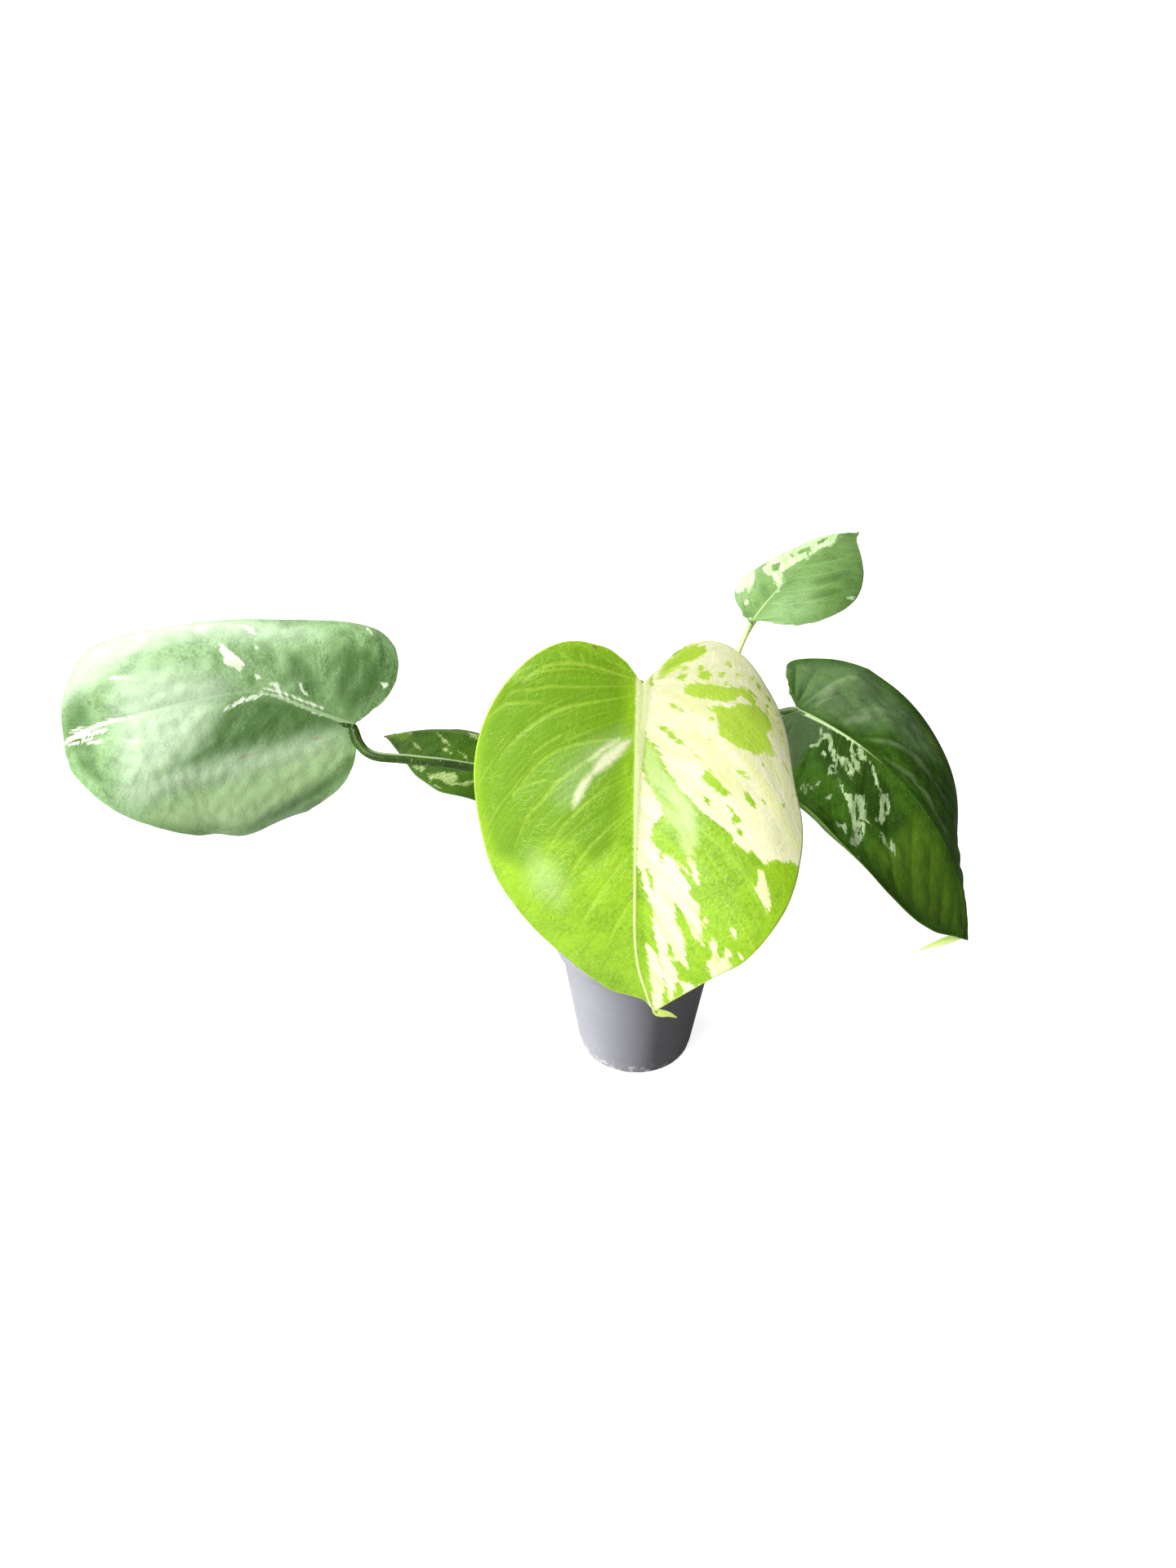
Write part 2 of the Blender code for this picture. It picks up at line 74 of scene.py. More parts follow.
# %% The camera, and where it shows a point
PICTURE_WIDTH, PICTURE_HEIGHT = 1440, 1920
CAMERA_PLACE = np.array([-34.3, -638.0, 616.0])
CAMERA_DOWN = 32.0  # degrees below the horizon
FOCAL_PIXELS = 1442.0  # focal length in pixels of the photograph
SENSOR = 36.0  # height of the camera's sensor
PIXEL = 0.6  # size on the plant of one pixel of the photograph

tilt = math.radians(CAMERA_DOWN)
AHEAD = np.array([0, math.cos(tilt), -math.sin(tilt)])
DOWN = np.array([0, -math.sin(tilt), -math.cos(tilt)])
RIGHT = np.array([1.0, 0, 0])

camera_data = bpy.data.cameras.new("camera")
camera_data.sensor_fit = "VERTICAL"
camera_data.sensor_height = SENSOR
camera_data.lens = FOCAL_PIXELS / PICTURE_HEIGHT * SENSOR
camera = bpy.data.objects.new("camera", camera_data)
camera.location = CAMERA_PLACE * MM
camera.rotation_euler = (math.radians(90 - CAMERA_DOWN), 0, 0)
bpy.context.scene.collection.objects.link(camera)
bpy.context.scene.camera = camera


def seen_at(places):
    """The photograph's pixels at which the camera shows places in space, and how far away they are."""
    seen = places - CAMERA_PLACE
    far = seen @ AHEAD
    column = PICTURE_WIDTH / 2 + FOCAL_PIXELS * seen[:, 0] / far
    row = PICTURE_HEIGHT / 2 + FOCAL_PIXELS * (seen @ DOWN) / far
    return np.stack([column, row], -1), far


def in_space(pixels, far):
    """The places in space that the camera shows at these pixels, at these distances ahead of it."""
    offset = (pixels - np.array([PICTURE_WIDTH, PICTURE_HEIGHT]) / 2) / FOCAL_PIXELS
    ray = AHEAD + offset[:, :1] * RIGHT + offset[:, 1:] * DOWN
    return CAMERA_PLACE + ray * far[:, None]


def in_picture(move):
    """A move in space, square to the camera's axis, that shows as this many pixels right and down."""
    return PIXEL * (move[0] * RIGHT + move[1] * DOWN)


print("lens:", round(camera_data.lens, 2), "mm")

# %% [markdown]
# ## Helpers for pieces
#
# Every piece is made in a bmesh and ends as an object at the origin, with its place in its mesh. One
# function hands it over: it names the piece, lets it ride on the plant's only body, gives it its materials
# and hides the node of the frame that it stands for. Smooth shading with a sharp limit keeps folds crisp.
# The other helpers turn a bmesh into an object and back, and draw smooth lines and smooth steps.

# %% Handing over a piece
BODY = "root"
SHARP = 55.0  # degrees past which an edge is shaded sharp
WELD = 0.002 * MM


def as_object(name, bm):
    """A new object in the scene, with the bmesh as its mesh."""
    mesh = bpy.data.meshes.new(name)
    bm.to_mesh(mesh)
    bm.free()
    thing = bpy.data.objects.new(name, mesh)
    bpy.context.scene.collection.objects.link(thing)
    return thing


def after_modifiers(thing):
    """A bmesh of an object as its modifiers leave it. The object itself is removed."""
    bpy.context.view_layer.update()
    mesh = bpy.data.meshes.new_from_object(thing.evaluated_get(bpy.context.evaluated_depsgraph_get()))
    bpy.data.objects.remove(thing, do_unlink=True)
    bm = bmesh.new()
    bm.from_mesh(mesh)
    return bm


def add_piece(name, bm, materials, stands_for=()):
    """One finished piece of the plant from a bmesh."""
    piece = as_object(name, bm)
    for material in materials:
        piece.data.materials.append(material)
    piece.data.shade_smooth()
    piece.data.set_sharp_from_angle(angle=math.radians(SHARP))
    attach(piece, BODY)
    if stands_for:
        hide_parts(*stands_for)
    print(name, "has", len(piece.data.polygons), "faces before its modifiers")
    return piece


def add_shell(piece, thickness, offset):
    """A modifier that gives a sheet its thickness, downward from its skin or to both sides."""
    shell = piece.modifiers.new("Thickness", "SOLIDIFY")
    shell.thickness = thickness * MM
    shell.offset = offset
    return shell


def marks_along(points):
    """Each point's share of the length of the line through them."""
    chords = np.linalg.norm(np.diff(points, axis=0), axis=1)
    return np.concatenate([[0], np.cumsum(chords)]) / chords.sum()


def smooth_line(points, shares):
    """Points on the smooth curve through the given ones, at shares of its length by chords."""
    points = np.array(points, float)
    padded = np.vstack([2 * points[0] - points[1], points, 2 * points[-1] - points[-2]])
    marks = marks_along(points)
    k = np.clip(np.searchsorted(marks, shares, side="right") - 1, 0, len(points) - 2)
    t = ((shares - marks[k]) / (marks[k + 1] - marks[k]))[..., None]
    a, b, c, d = padded[k], padded[k + 1], padded[k + 2], padded[k + 3]
    return 0.5 * (2 * b + (c - a) * t + (2 * a - 5 * b + 4 * c - d) * t**2 + (3 * b - a - 3 * c + d) * t**3)


def rise(value, low, high):
    """0 below low, 1 above high, and a smooth step between them."""
    share = np.clip((value - low) / (high - low), 0, 1)
    return share * share * (3 - 2 * share)


# %% [markdown]
# ## Helpers for materials
#
# A material is a small board of nodes. Writing the nodes out one by one buries the idea, so a board places a
# node, sets its inputs and hands back an output in one call. An input that is given an output gets linked to
# it, and any other value is set on the node itself.

# %% A board of nodes
class Board:
    """A node tree with short ways to place what these materials need."""

    def __init__(self, tree):
        self.tree = tree

    def feed(self, node, inputs):
        """Links or sets inputs of a node by name."""
        for name, value in inputs.items():
            if isinstance(value, bpy.types.NodeSocket):
                self.tree.links.new(value, node.inputs[name])
            else:
                node.inputs[name].default_value = value

    def put(self, kind, inputs=None, **settings):
        """A new node of a kind, with its settings and its inputs."""
        node = self.tree.nodes.new("ShaderNode" + kind)
        for name, value in settings.items():
            setattr(node, name, value)
        self.feed(node, inputs or {})
        return node

    def math(self, operation, *values):
        return self.put("Math", dict(enumerate(values)), operation=operation).outputs[0]

    def add(self, total, *others):
        for value in others:
            total = self.math("ADD", total, value)
        return total

    def less(self, first, second):
        return self.math("SUBTRACT", first, second)

    def times(self, first, second):
        return self.math("MULTIPLY", first, second)

    def inverse(self, mask):
        return self.math("SUBTRACT", 1.0, mask)

    def mix(self, factor, first, second):
        """One colour laid over another."""
        names = {0: factor, 6: first, 7: second}
        return self.put("Mix", names, data_type="RGBA").outputs[2]

    def step(self, value, low, high):
        """A smooth mask that is 0 at low and 1 at high."""
        inputs = {"Value": value, "From Min": low, "From Max": high}
        return self.put("MapRange", inputs, interpolation_type="SMOOTHSTEP").outputs[0]

    def noise(self, vector, scale, detail=3.0, roughness=0.5):
        inputs = {"Vector": vector, "Scale": scale, "Detail": detail, "Roughness": roughness}
        return self.put("TexNoise", inputs).outputs[0]

    def cells(self, vector, scale, feature="F1"):
        """Distance from the nearest of many scattered points, or from the edge of its cell."""
        return self.put("TexVoronoi", {"Vector": vector, "Scale": scale}, feature=feature).outputs["Distance"]

    def stored(self, name, output="Fac"):
        """What the mesh stores on its points under a name."""
        return self.put("Attribute", attribute_name=name).outputs[output]

    def place(self):
        """Where on the object a point lies, in metres."""
        return self.put("TexCoord").outputs["Object"]

    def part(self, vector, axis):
        """One of a vector's three numbers."""
        return self.put("SeparateXYZ", {0: vector}).outputs[axis]

    def stretch(self, vector, scale):
        """A vector with each of its axes stretched."""
        return self.put("VectorMath", {0: vector, 1: scale}, operation="MULTIPLY").outputs[0]

    def bump(self, height, strength, distance):
        return self.put("Bump", {"Height": height, "Strength": strength, "Distance": distance}).outputs[0]


def new_material(name, values):
    """A material, its board and its Principled BSDF, with the shader's plain values set."""
    material = bpy.data.materials.new(name)
    material.use_nodes = True
    board = Board(material.node_tree)
    shader = material.node_tree.nodes["Principled BSDF"]
    board.feed(shader, values)
    return material, board, shader


def new_effect(name, inputs, outputs):
    """An effect that several materials share: its group, a board in it, its inputs and its output node."""
    group = bpy.data.node_groups.new(name, "ShaderNodeTree")
    for way, sockets in (("INPUT", inputs), ("OUTPUT", outputs)):
        for socket, kind in sockets.items():
            group.interface.new_socket(socket, in_out=way, socket_type="NodeSocket" + kind)
    into = group.nodes.new("NodeGroupInput").outputs
    out = group.nodes.new("NodeGroupOutput")
    return group, Board(group), into, out


def tint(red, green, blue):
    """A colour given as it reads on a screen, from 0 to 255, as linear light for a shader."""
    return (*((value / 255) ** 2.2 for value in (red, green, blue)), 1)


# %% [markdown]
# ## Light and floor
#
# The photograph is a bright cut-out on white. Its light is a large window on the left, a little behind the
# plant, and the right is dark, as the pot's right side shows. Here a large area light is that window, a
# smaller one fills the leaves from the front left, and a low spot from the left reaches only the pot. A sky
# that fades from left to right does the rest, and a pale floor carries the pot. The floor and the sky look
# white to the camera but send less light on to the plant, or its shadows would drown.

# %% Light and floor
LIGHTS = {  # kind, place and aim in metres, width in metres, power
    "window": ("AREA", (-0.95, 0.35, 1.2), (-0.05, 0, 0.22), 1.0, 29.0),
    "front_window": ("AREA", (-0.65, -1.15, 1.25), (-0.05, 0, 0.22), 0.6, 23.0),
    "low_window": ("SPOT", (-0.86, -0.26, 0.10), (0, 0, 0.045), 0.1, 560.0),
}
SPOT_ANGLE = 9.5  # degrees: the low light reaches the pot and passes under the leaves
SPOT_BLEND = 0.5
SKY_LEFT, SKY_RIGHT = 0.65, 0.12
SKY_FADE = (-0.8, 0.6)  # from how far left to how far right the sky fades
FLOOR_SIZE = 6  # half the floor's width in metres
FLOOR_GLOW = 0.85  # white that only the camera sees on the floor

for name, (kind, place, aim, width, power) in LIGHTS.items():
    data = bpy.data.lights.new(name, kind)
    data.energy = power
    if kind == "SPOT":
        data.shadow_soft_size = width
        data.spot_size = math.radians(SPOT_ANGLE)
        data.spot_blend = SPOT_BLEND
    else:
        data.size = width
    light = bpy.data.objects.new(name, data)
    light.location = place
    light.rotation_euler = (Vector(aim) - Vector(place)).to_track_quat("-Z", "Y").to_euler()
    bpy.context.scene.collection.objects.link(light)

sky = bpy.data.worlds.new("sky")
sky.use_nodes = True
bpy.context.scene.world = sky
board = Board(sky.node_tree)
sideways = board.part(board.put("TexCoord").outputs["Generated"], "X")
fall = board.put("MapRange", {"Value": sideways, "From Min": SKY_FADE[0], "From Max": SKY_FADE[1],
                              "To Min": SKY_LEFT, "To Max": SKY_RIGHT}).outputs[0]
to_camera = board.put("LightPath").outputs["Is Camera Ray"]
board.feed(sky.node_tree.nodes["Background"],
           {"Color": (1, 1, 1, 1), "Strength": board.math("MAXIMUM", fall, to_camera)})

bm = bmesh.new()
bmesh.ops.create_grid(bm, x_segments=1, y_segments=1, size=FLOOR_SIZE)
floor = as_object("floor", bm)
floor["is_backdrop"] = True
paper, board, shader = new_material(
    "pale floor", {"Base Color": tint(170, 170, 170), "Roughness": 0.7, "Emission Color": (1, 1, 1, 1)})
to_camera = board.put("LightPath").outputs["Is Camera Ray"]
board.feed(shader, {"Emission Strength": board.times(to_camera, FLOOR_GLOW)})
floor.data.materials.append(paper)
bpy.context.scene.view_settings.view_transform = "Standard"
print("lights:", *LIGHTS)

# %% [markdown]
# ## How the blades are bent
#
# Each blade is the same flat heart, scaled, then bent by a handful of numbers: the midrib climbs and turns,
# each half slopes away from it, and the drip tip curls. These are the numbers that shaped the solid blades
# of the frame, so a finer blade made from them lies where the solid one does, but for its tip, which curls
# less because the turned drip tips are pieces of their own. `rib_line` is new: how far the drawn midrib
# swings sideways within the blade at shares of its length. `nudges` are new too: a place on the flat blade,
# a reach, and how many pixels right and down the skin moves there, so that its folds show as photographed.

# %% The leaves' own numbers
HEART = [(0.13, -0.08), (0.30, -0.13), (0.50, -0.13), (0.73, -0.065), (0.92, 0.075), (1.0, 0.26),
         (0.95, 0.49), (0.81, 0.65), (0.59, 0.78)]
ENDS = {  # the outline's last points: pointed, full or blunt
    "point": [(0.36, 0.875), (0.20, 0.945), (0.08, 0.99), (0.0, 1.02)],
    "full": [(0.40, 0.90), (0.26, 0.98), (0.13, 1.03), (0.0, 1.06)],
    "blunt": [(0.40, 0.85), (0.24, 0.895), (0.12, 0.92), (0.0, 0.93)],
}
STRAIGHT = [(0, 0), (1, 0)]
TIP_REACH = 1.02  # share of the length at which the tip's curl is complete
RIB_REACH = 1.05  # share of the length to which the midrib is worked out
RIB_BLUR = np.linspace(-0.04, 0.04, 5)  # shares of the length over which the midrib's line is evened out
RIB_STEPS = 210
SLOPE_STEPS = 12  # steps from the midrib outward in which a half's slope adds up
CURL_GROWTH = 1.5  # power with which the tip's curl grows
ROW_SWEEP = 14.0  # degrees that a row of the grid bows towards the tip
ROW_ARM = 0.45  # share of a row's length at which its bow pulls
TIP_TURN = 8  # how late the grid's middle line turns aside to a tip that was moved

LEAVES = {
    "front": dict(
        base=(-6.4, -102.3, 341.1), length=176, width=171, heading=(-91, 15), pitch=(-62, 22, -50),
        roll=(-26, 52), left=(10, 14, -59), right=(5, -27, -7), lobes=(0.90, 0.84), halves=(1.06, 1.02),
        curl=(30, 150, 0.94), rib=1.0, quilt=0.85, crinkle=0.35,
        rib_line=[(0, 0), (0.15, 1.5), (0.35, 3.1), (0.55, 4.2), (0.75, 5.2), (0.84, 4.2), (0.9, 1.6),
                  (0.95, -1.2), (1, -3.2)],
        end="point", rows=170, columns=84),
    "left": dict(
        base=(-172.1, -34.6, 279.6), length=188, width=173, heading=(195, -12), pitch=(26, -19, -69),
        roll=(-39, 47), left=(-33, -50, -15), right=(54, -49, -128), lobes=(0.25, 0.58), halves=(1.09, 0.91),
        fold=(0.25, -22, 5), curl=(0, 90, 0.88), rib=0.36, ridge=0.6, quilt=0.5, crinkle=2.2,
        rib_line=[(0, 0), (0.1, 1.8), (0.18, 4.2), (0.24, 6.8), (0.3, 8.4), (0.34, 7.4), (0.41, 4), (0.47, 2),
                  (0.52, 0.3), (0.6, -0.8), (0.7, 0), (0.8, 2), (1, 0)],
        nudges=[((-88, 52), 32, (0, 18)), ((62, 8), 28, (3, -9)), ((46, 142), 32, (-8, -12))],
        end="blunt", rows=170, columns=84),
    "right": dict(
        base=(94.5, -3.6, 272.6), length=177, width=178, heading=(-44.5, -10), pitch=(-2, -39, -40),
        roll=(17.5, -47), left=(-11, -7, -10), right=(-21, -4, 76), lobes=(1.27, 1.0), halves=(0.99, 1.17),
        curl=(0, 60, 0.93), rib=0.4, ridge=0.3, quilt=1.8, crinkle=2.0, rib_line=STRAIGHT,
        nudges=[((84, 52), 24, (-4, -18)), ((-45, 135), 32, (-5, 0)), ((0, 182), 16, (2, 10))],
        end="full", rows=200, columns=100),
    "back": dict(
        base=(83.6, 145, 265), length=120, width=110, heading=(40, 13), pitch=(41, -52, 11),
        roll=(-31, 42), left=(-20, -5, 57), right=(2, -30, -22), lobes=(0.2, 0.2), halves=(0.93, 0.99),
        curl=(0, 60, 0.93), rib=0.5, quilt=0.8, crinkle=0.5, rib_line=STRAIGHT,
        end="point", rows=120, columns=60),
    "small": dict(
        base=(-70.4, 45.7, 200.5), length=108, width=110, heading=(180, 9), pitch=(50, -84, 24),
        roll=(-5, -1), left=(-28, 3, 49), right=(-27, -26, 26), lobes=(1.0, 1.0), halves=(1.13, 1.01),
        curl=(0, 90, 0.93), rib=0.4, quilt=0.6, crinkle=0.6, rib_line=STRAIGHT,
        end="point", rows=110, columns=60),
}


def midrib(leaf, along):
    """Middle line of a blade at shares of its length: points from the base, directions, upward normals."""
    x = np.linspace(0, RIB_REACH, RIB_STEPS + 1)
    pitch = np.radians(np.polyval(leaf["pitch"][::-1], x))
    yaw = np.radians(leaf["heading"][0] + leaf["heading"][1] * x**2)
    roll = np.radians(leaf["roll"][0] + leaf["roll"][1] * x)[:, None]
    tangent = np.stack([np.cos(yaw) * np.cos(pitch), np.sin(yaw) * np.cos(pitch), np.sin(pitch)], -1)
    right = np.stack([np.sin(yaw), -np.cos(yaw), 0 * yaw], -1)
    normal = np.cross(right, tangent) * np.cos(roll) + right * np.sin(roll)
    across = np.cross(tangent, normal)
    turn, bearing, start = math.radians(leaf["curl"][0]), math.radians(leaf["curl"][1]), leaf["curl"][2]
    angle = (turn * np.clip((x - start) / (TIP_REACH - start), 0, 1) ** CURL_GROWTH)[:, None]
    towards = across * math.cos(bearing) - normal * math.sin(bearing)
    lean = -math.sin(bearing)
    curled_tangent = tangent * np.cos(angle) + towards * np.sin(angle)
    curled_normal = normal + (np.cos(angle) - 1) * lean * towards - np.sin(angle) * lean * tangent
    step = leaf["length"] * (x[1] - x[0])
    travel = np.cumsum((curled_tangent[1:] + curled_tangent[:-1]) / 2 * step, axis=0)
    line = np.vstack([np.zeros(3), travel])

    def at(table):
        return np.stack([np.interp(along, x, table[:, k]) for k in range(3)], -1)

    tangents, normals = at(curled_tangent), at(curled_normal)
    tangents /= np.linalg.norm(tangents, axis=-1, keepdims=True)
    normals /= np.linalg.norm(normals, axis=-1, keepdims=True)
    return at(line), tangents, normals


def rib_side(leaf, along):
    """How far to the right of the blade's middle the midrib runs, at a distance along the blade."""
    shares, sides = zip(*leaf["rib_line"])
    near = [np.interp(along / leaf["length"] + shift, shares, sides) for shift in RIB_BLUR]
    return np.mean(near, axis=0)


def outline(leaf, s, side):
    """The flat heart's outline at shares s of the way from notch to tip, on side 0 (left) or 1 (right): how
    far out and how far along. A trim, where the leaf has one, shifts it."""
    edge = smooth_line(HEART + ENDS[leaf["end"]], s)
    reach = np.array(leaf["lobes"])[side]
    edge_x = edge[..., 0] * np.array(leaf["halves"])[side] * leaf["width"] / 2
    edge_y = np.where(edge[..., 1] < 0, edge[..., 1] * reach, edge[..., 1]) * leaf["length"]
    if "trim" in leaf:
        shifts = [[np.interp(s, TRIM_SHARES, trim[:, k]) for trim in leaf["trim"]] for k in (0, 1)]
        edge_x = edge_x + np.where(side == 0, -shifts[0][0], shifts[0][1])
        edge_y = edge_y + np.where(side == 0, shifts[1][0], shifts[1][1])
    return edge_x, edge_y


def flat_blade(leaf, s, t):
    """Place on the flat blade, across and along, of a point at share s of the outline from notch to
    tip, and share t of the way from the midrib to the edge (left side negative)."""
    sign = np.where(t < 0, -1.0, 1.0)
    edge_x, edge_y = outline(leaf, s, np.where(t < 0, 0, 1))
    tip_x, tip_y = outline(leaf, np.ones(1), np.ones(1, int))
    root_y = tip_y * s**2
    root_x = sign * (rib_side(leaf, root_y) + (tip_x - rib_side(leaf, tip_y)) * s**TIP_TURN)
    chord_x, chord_y = edge_x - root_x, edge_y - root_y
    chord = np.hypot(chord_x, chord_y)
    angle = np.arctan2(chord_x, chord_y) + math.radians(ROW_SWEEP) * np.sin(math.pi * s)
    arm = ROW_ARM * chord
    bow_x, bow_y = root_x + arm * np.sin(angle), root_y + arm * np.cos(angle)
    t = np.abs(t)
    across = (1 - t) ** 2 * root_x + 2 * t * (1 - t) * bow_x + t**2 * edge_x
    along = (1 - t) ** 2 * root_y + 2 * t * (1 - t) * bow_y + t**2 * edge_y
    return sign * across, along


def bent_blade(leaf, across, along):
    """The point in space of a place on the flat blade."""
    share = np.clip(along / leaf["length"], 0, RIB_REACH)
    line, tangent, normal = midrib(leaf, share)
    line = line + tangent * (along - share * leaf["length"])[:, None]
    right = np.cross(tangent, normal)
    is_right = across > 0
    out = np.abs(across) / (leaf["width"] / 2)
    slopes = [np.where(is_right, *pair) for pair in zip(leaf["right"], leaf["left"])]
    sideways, height = np.zeros(len(across)), np.zeros(len(across))
    for i in range(SLOPE_STEPS):
        here = out * (i + 0.5) / SLOPE_STEPS
        slope = np.radians(slopes[0] + slopes[1] * here + slopes[2] * here**2)
        sideways += across / SLOPE_STEPS * np.cos(slope)
        height += np.abs(across) / SLOPE_STEPS * np.sin(slope)
    if "fold" in leaf:
        steepness, bearing, soft = leaf["fold"]
        c, s = math.cos(math.radians(bearing)), math.sin(math.radians(bearing))
        past = np.logaddexp(0, (along * s - across * c) / soft) - np.logaddexp(0, along * s / soft)
        height += np.where(is_right, 0, steepness * soft * past)
    place = np.array(leaf["base"]) + line + right * sideways[:, None] + normal * height[:, None]
    for middle, reach, move in leaf.get("nudges", ()):
        near = np.exp(-((across - middle[0]) ** 2 + (along - middle[1]) ** 2) / reach**2)
        place = place + near[:, None] * in_picture(move)
    return place


def samples(leaf, first, rows, columns):
    """Places all over a flat blade, from a share of its outline to the tip, and how they look."""
    s, t = np.meshgrid(np.linspace(first, 1, rows), np.linspace(-1, 1, columns))
    grid = flat_blade(leaf, s.ravel(), t.ravel())
    return grid, seen_at(bent_blade(leaf, *grid))


FEEL = 1.5  # distance over which the blade's slope is felt, which rounds its midrib


def skin_normal(leaf, across, along):
    """The upward normal of a blade at places on it."""
    aside = bent_blade(leaf, across + FEEL, along) - bent_blade(leaf, across - FEEL, along)
    ahead = bent_blade(leaf, across, along + FEEL) - bent_blade(leaf, across, along - FEEL)
    normal = np.cross(aside, ahead)
    return normal / np.linalg.norm(normal, axis=-1, keepdims=True)


print("leaves:", {name: leaf["length"] for name, leaf in LEAVES.items()})

# %% [markdown]
# ## Veins, quilting and crinkles
#
# A side vein leaves the midrib nearly square near the base and more and more towards the tip further on,
# runs straight, and hooks forward near the edge. One formula gives every point the share of the midrib where
# its vein starts; below zero the veins fan into the lobes. From that number come the grooves over the veins,
# the soft cushions between them and the fine lines of the colour, so they all agree. Wide waves and small
# crinkles of noise make the skin uneven.

# %% Where a point's vein starts, and the blade's relief
VEIN_LEAN = (0.15, 1.8)  # slope of a side vein at the base, and what it gains along the midrib
VEIN_HOOK = 0.6  # how far a vein hooks forward at the edge, as a share of the half width
VEIN_HOOK_POWER = 3.5  # how late it does so
VEINS = 10  # main side veins along the length
LOBE_FAN = 0.1  # how closely the lobes' veins gather at the base
RIB_WIDTH = (4.4, 0.7)  # half width of the midrib's pale band at the base and further on
RIB_NARROWS = (0.5, 1.3)  # share of the length at which it is down to that, and how fast
RIB_RISE = 0.45  # how high it stands on the upper side
RIB_SINKS = 0.8  # share of that height that it loses from the middle to the tip
GROOVE = (0.22, 1.2)  # depth and half width of the groove over a main side vein
CUSHION = 0.32  # how high the blade swells between two side veins
UNDULATION = (0.9, 26.0)  # height and size of the blade's uneven waves
CRINKLE = (0.45, 7.5)  # and of the small crinkles on them
QUILT_FROM_RIB = (3, 18)  # distances from the midrib between which the quilting sets in
QUILT_TO_EDGE = (0.8, 0.98)  # shares of the way to the edge between which it ends
CRINKLE_FROM_RIB = (1, 8)
CRINKLE_TO_EDGE = (0.75, 1)
NOMINAL_LENGTH = 176  # length of the blade for which heights and depths are given


def size_of(leaf):
    """How large a blade is beside the nominal one."""
    return leaf["length"] / NOMINAL_LENGTH


def vein_share(leaf, across, along):
    """Share of the midrib where the side vein through a point starts, and its distance from the rib."""
    half = leaf["width"] / 2
    out = np.abs(across - rib_side(leaf, along))
    hook = VEIN_HOOK * half * (out / half) ** VEIN_HOOK_POWER
    start = (along - VEIN_LEAN[0] * out - hook) / (leaf["length"] + VEIN_LEAN[1] * out)
    start = np.where(start < 0, start * half / (out + LOBE_FAN * half), start)
    return start, out


def from_vein(leaf, start):
    """Distance along the midrib from the nearest main side vein."""
    phase = start * VEINS
    return np.abs(phase - np.round(phase)) * leaf["length"] / VEINS


def rib_half_width(leaf, along):
    narrowing = (1 - np.clip(along / leaf["length"] / RIB_NARROWS[0], 0, 1)) ** RIB_NARROWS[1]
    return (RIB_WIDTH[1] + (RIB_WIDTH[0] - RIB_WIDTH[1]) * narrowing) * leaf["rib"]


def unevenness(leaf, across, along, wide):
    """Noise over the flat blade, with waves this wide."""
    return np.array([noise.noise(Vector((x, y, leaf["length"])) / wide) for x, y in zip(across, along)])


def relief(leaf, across, along, t):
    """How far the upper skin stands off the smooth bent blade."""
    start, out = vein_share(leaf, across, along)
    size = size_of(leaf)
    near, far = QUILT_FROM_RIB
    inside = rise(out, near * size, far * size) * (1 - rise(np.abs(t), *QUILT_TO_EDGE))
    cushions = CUSHION * size * np.sin(math.pi * (start * VEINS)) ** 2
    grooves = GROOVE[0] * size * np.exp(-((from_vein(leaf, start) / GROOVE[1]) ** 2))
    waves = unevenness(leaf, across, along, UNDULATION[1]) * UNDULATION[0]
    small = rise(out, *CRINKLE_FROM_RIB) * (1 - rise(np.abs(t), *CRINKLE_TO_EDGE))
    small = small * unevenness(leaf, across, along, CRINKLE[1]) * CRINKLE[0]
    ridge = leaf.get("ridge", 1) * RIB_RISE * size * np.exp(-((out / rib_half_width(leaf, along)) ** 4))
    ridge = ridge * (1 - rise(along / leaf["length"], 0.5, 1.0) * RIB_SINKS)
    return ridge + leaf["quilt"] * inside * (cushions - grooves + waves * size) + leaf["crinkle"] * small


# %% [markdown]
# ## Reading the variegation
#
# Variegation is cell tissue without green: it comes in bands that follow the side veins, with islands of
# green left in them and torn edges. Outlines read from the photograph give each patch its place. Each
# outline is turned from the photograph's pixels to places on the flat blade, by looking for the spot that
# the camera shows there, so a marking lies in the skin and isn't projected through it.

# %% From a pixel to a place on a blade, and how deep a place lies in a patch
# the last four kinds are painted light and shade: painted highlights, a whitish painted sheen, painted shade
# and painted light
SKIN_KINDS = ("cream", "pale", "vein", "scar", "painted_highlight", "painted_sheen", "shade", "painted_light")
LOOK_STEPS = 4
LOOK_CLOSE = 2  # pixels that a first guess may miss by beyond the least miss, if the camera sees it nearer
LOOK_STRIDE = 8  # the furthest that one step goes
LOOK_SIGHT = 0.3  # square pixels to the square millimetre, below which no step is taken
STREAK_TAPER = 2.5  # how late a streak narrows to its ends
FAR_OUTSIDE = -40.0
TINY = 1e-9


def slopes_at(leaf, places):
    """Pixels of places on the flat blade, and how far they move with each millimetre across and along."""
    here = seen_at(bent_blade(leaf, places[:, 0], places[:, 1]))[0]
    aside = seen_at(bent_blade(leaf, places[:, 0] + 1, places[:, 1]))[0] - here
    ahead = seen_at(bent_blade(leaf, places[:, 0], places[:, 1] + 1))[0] - here
    return here, np.stack([aside, ahead], -1)


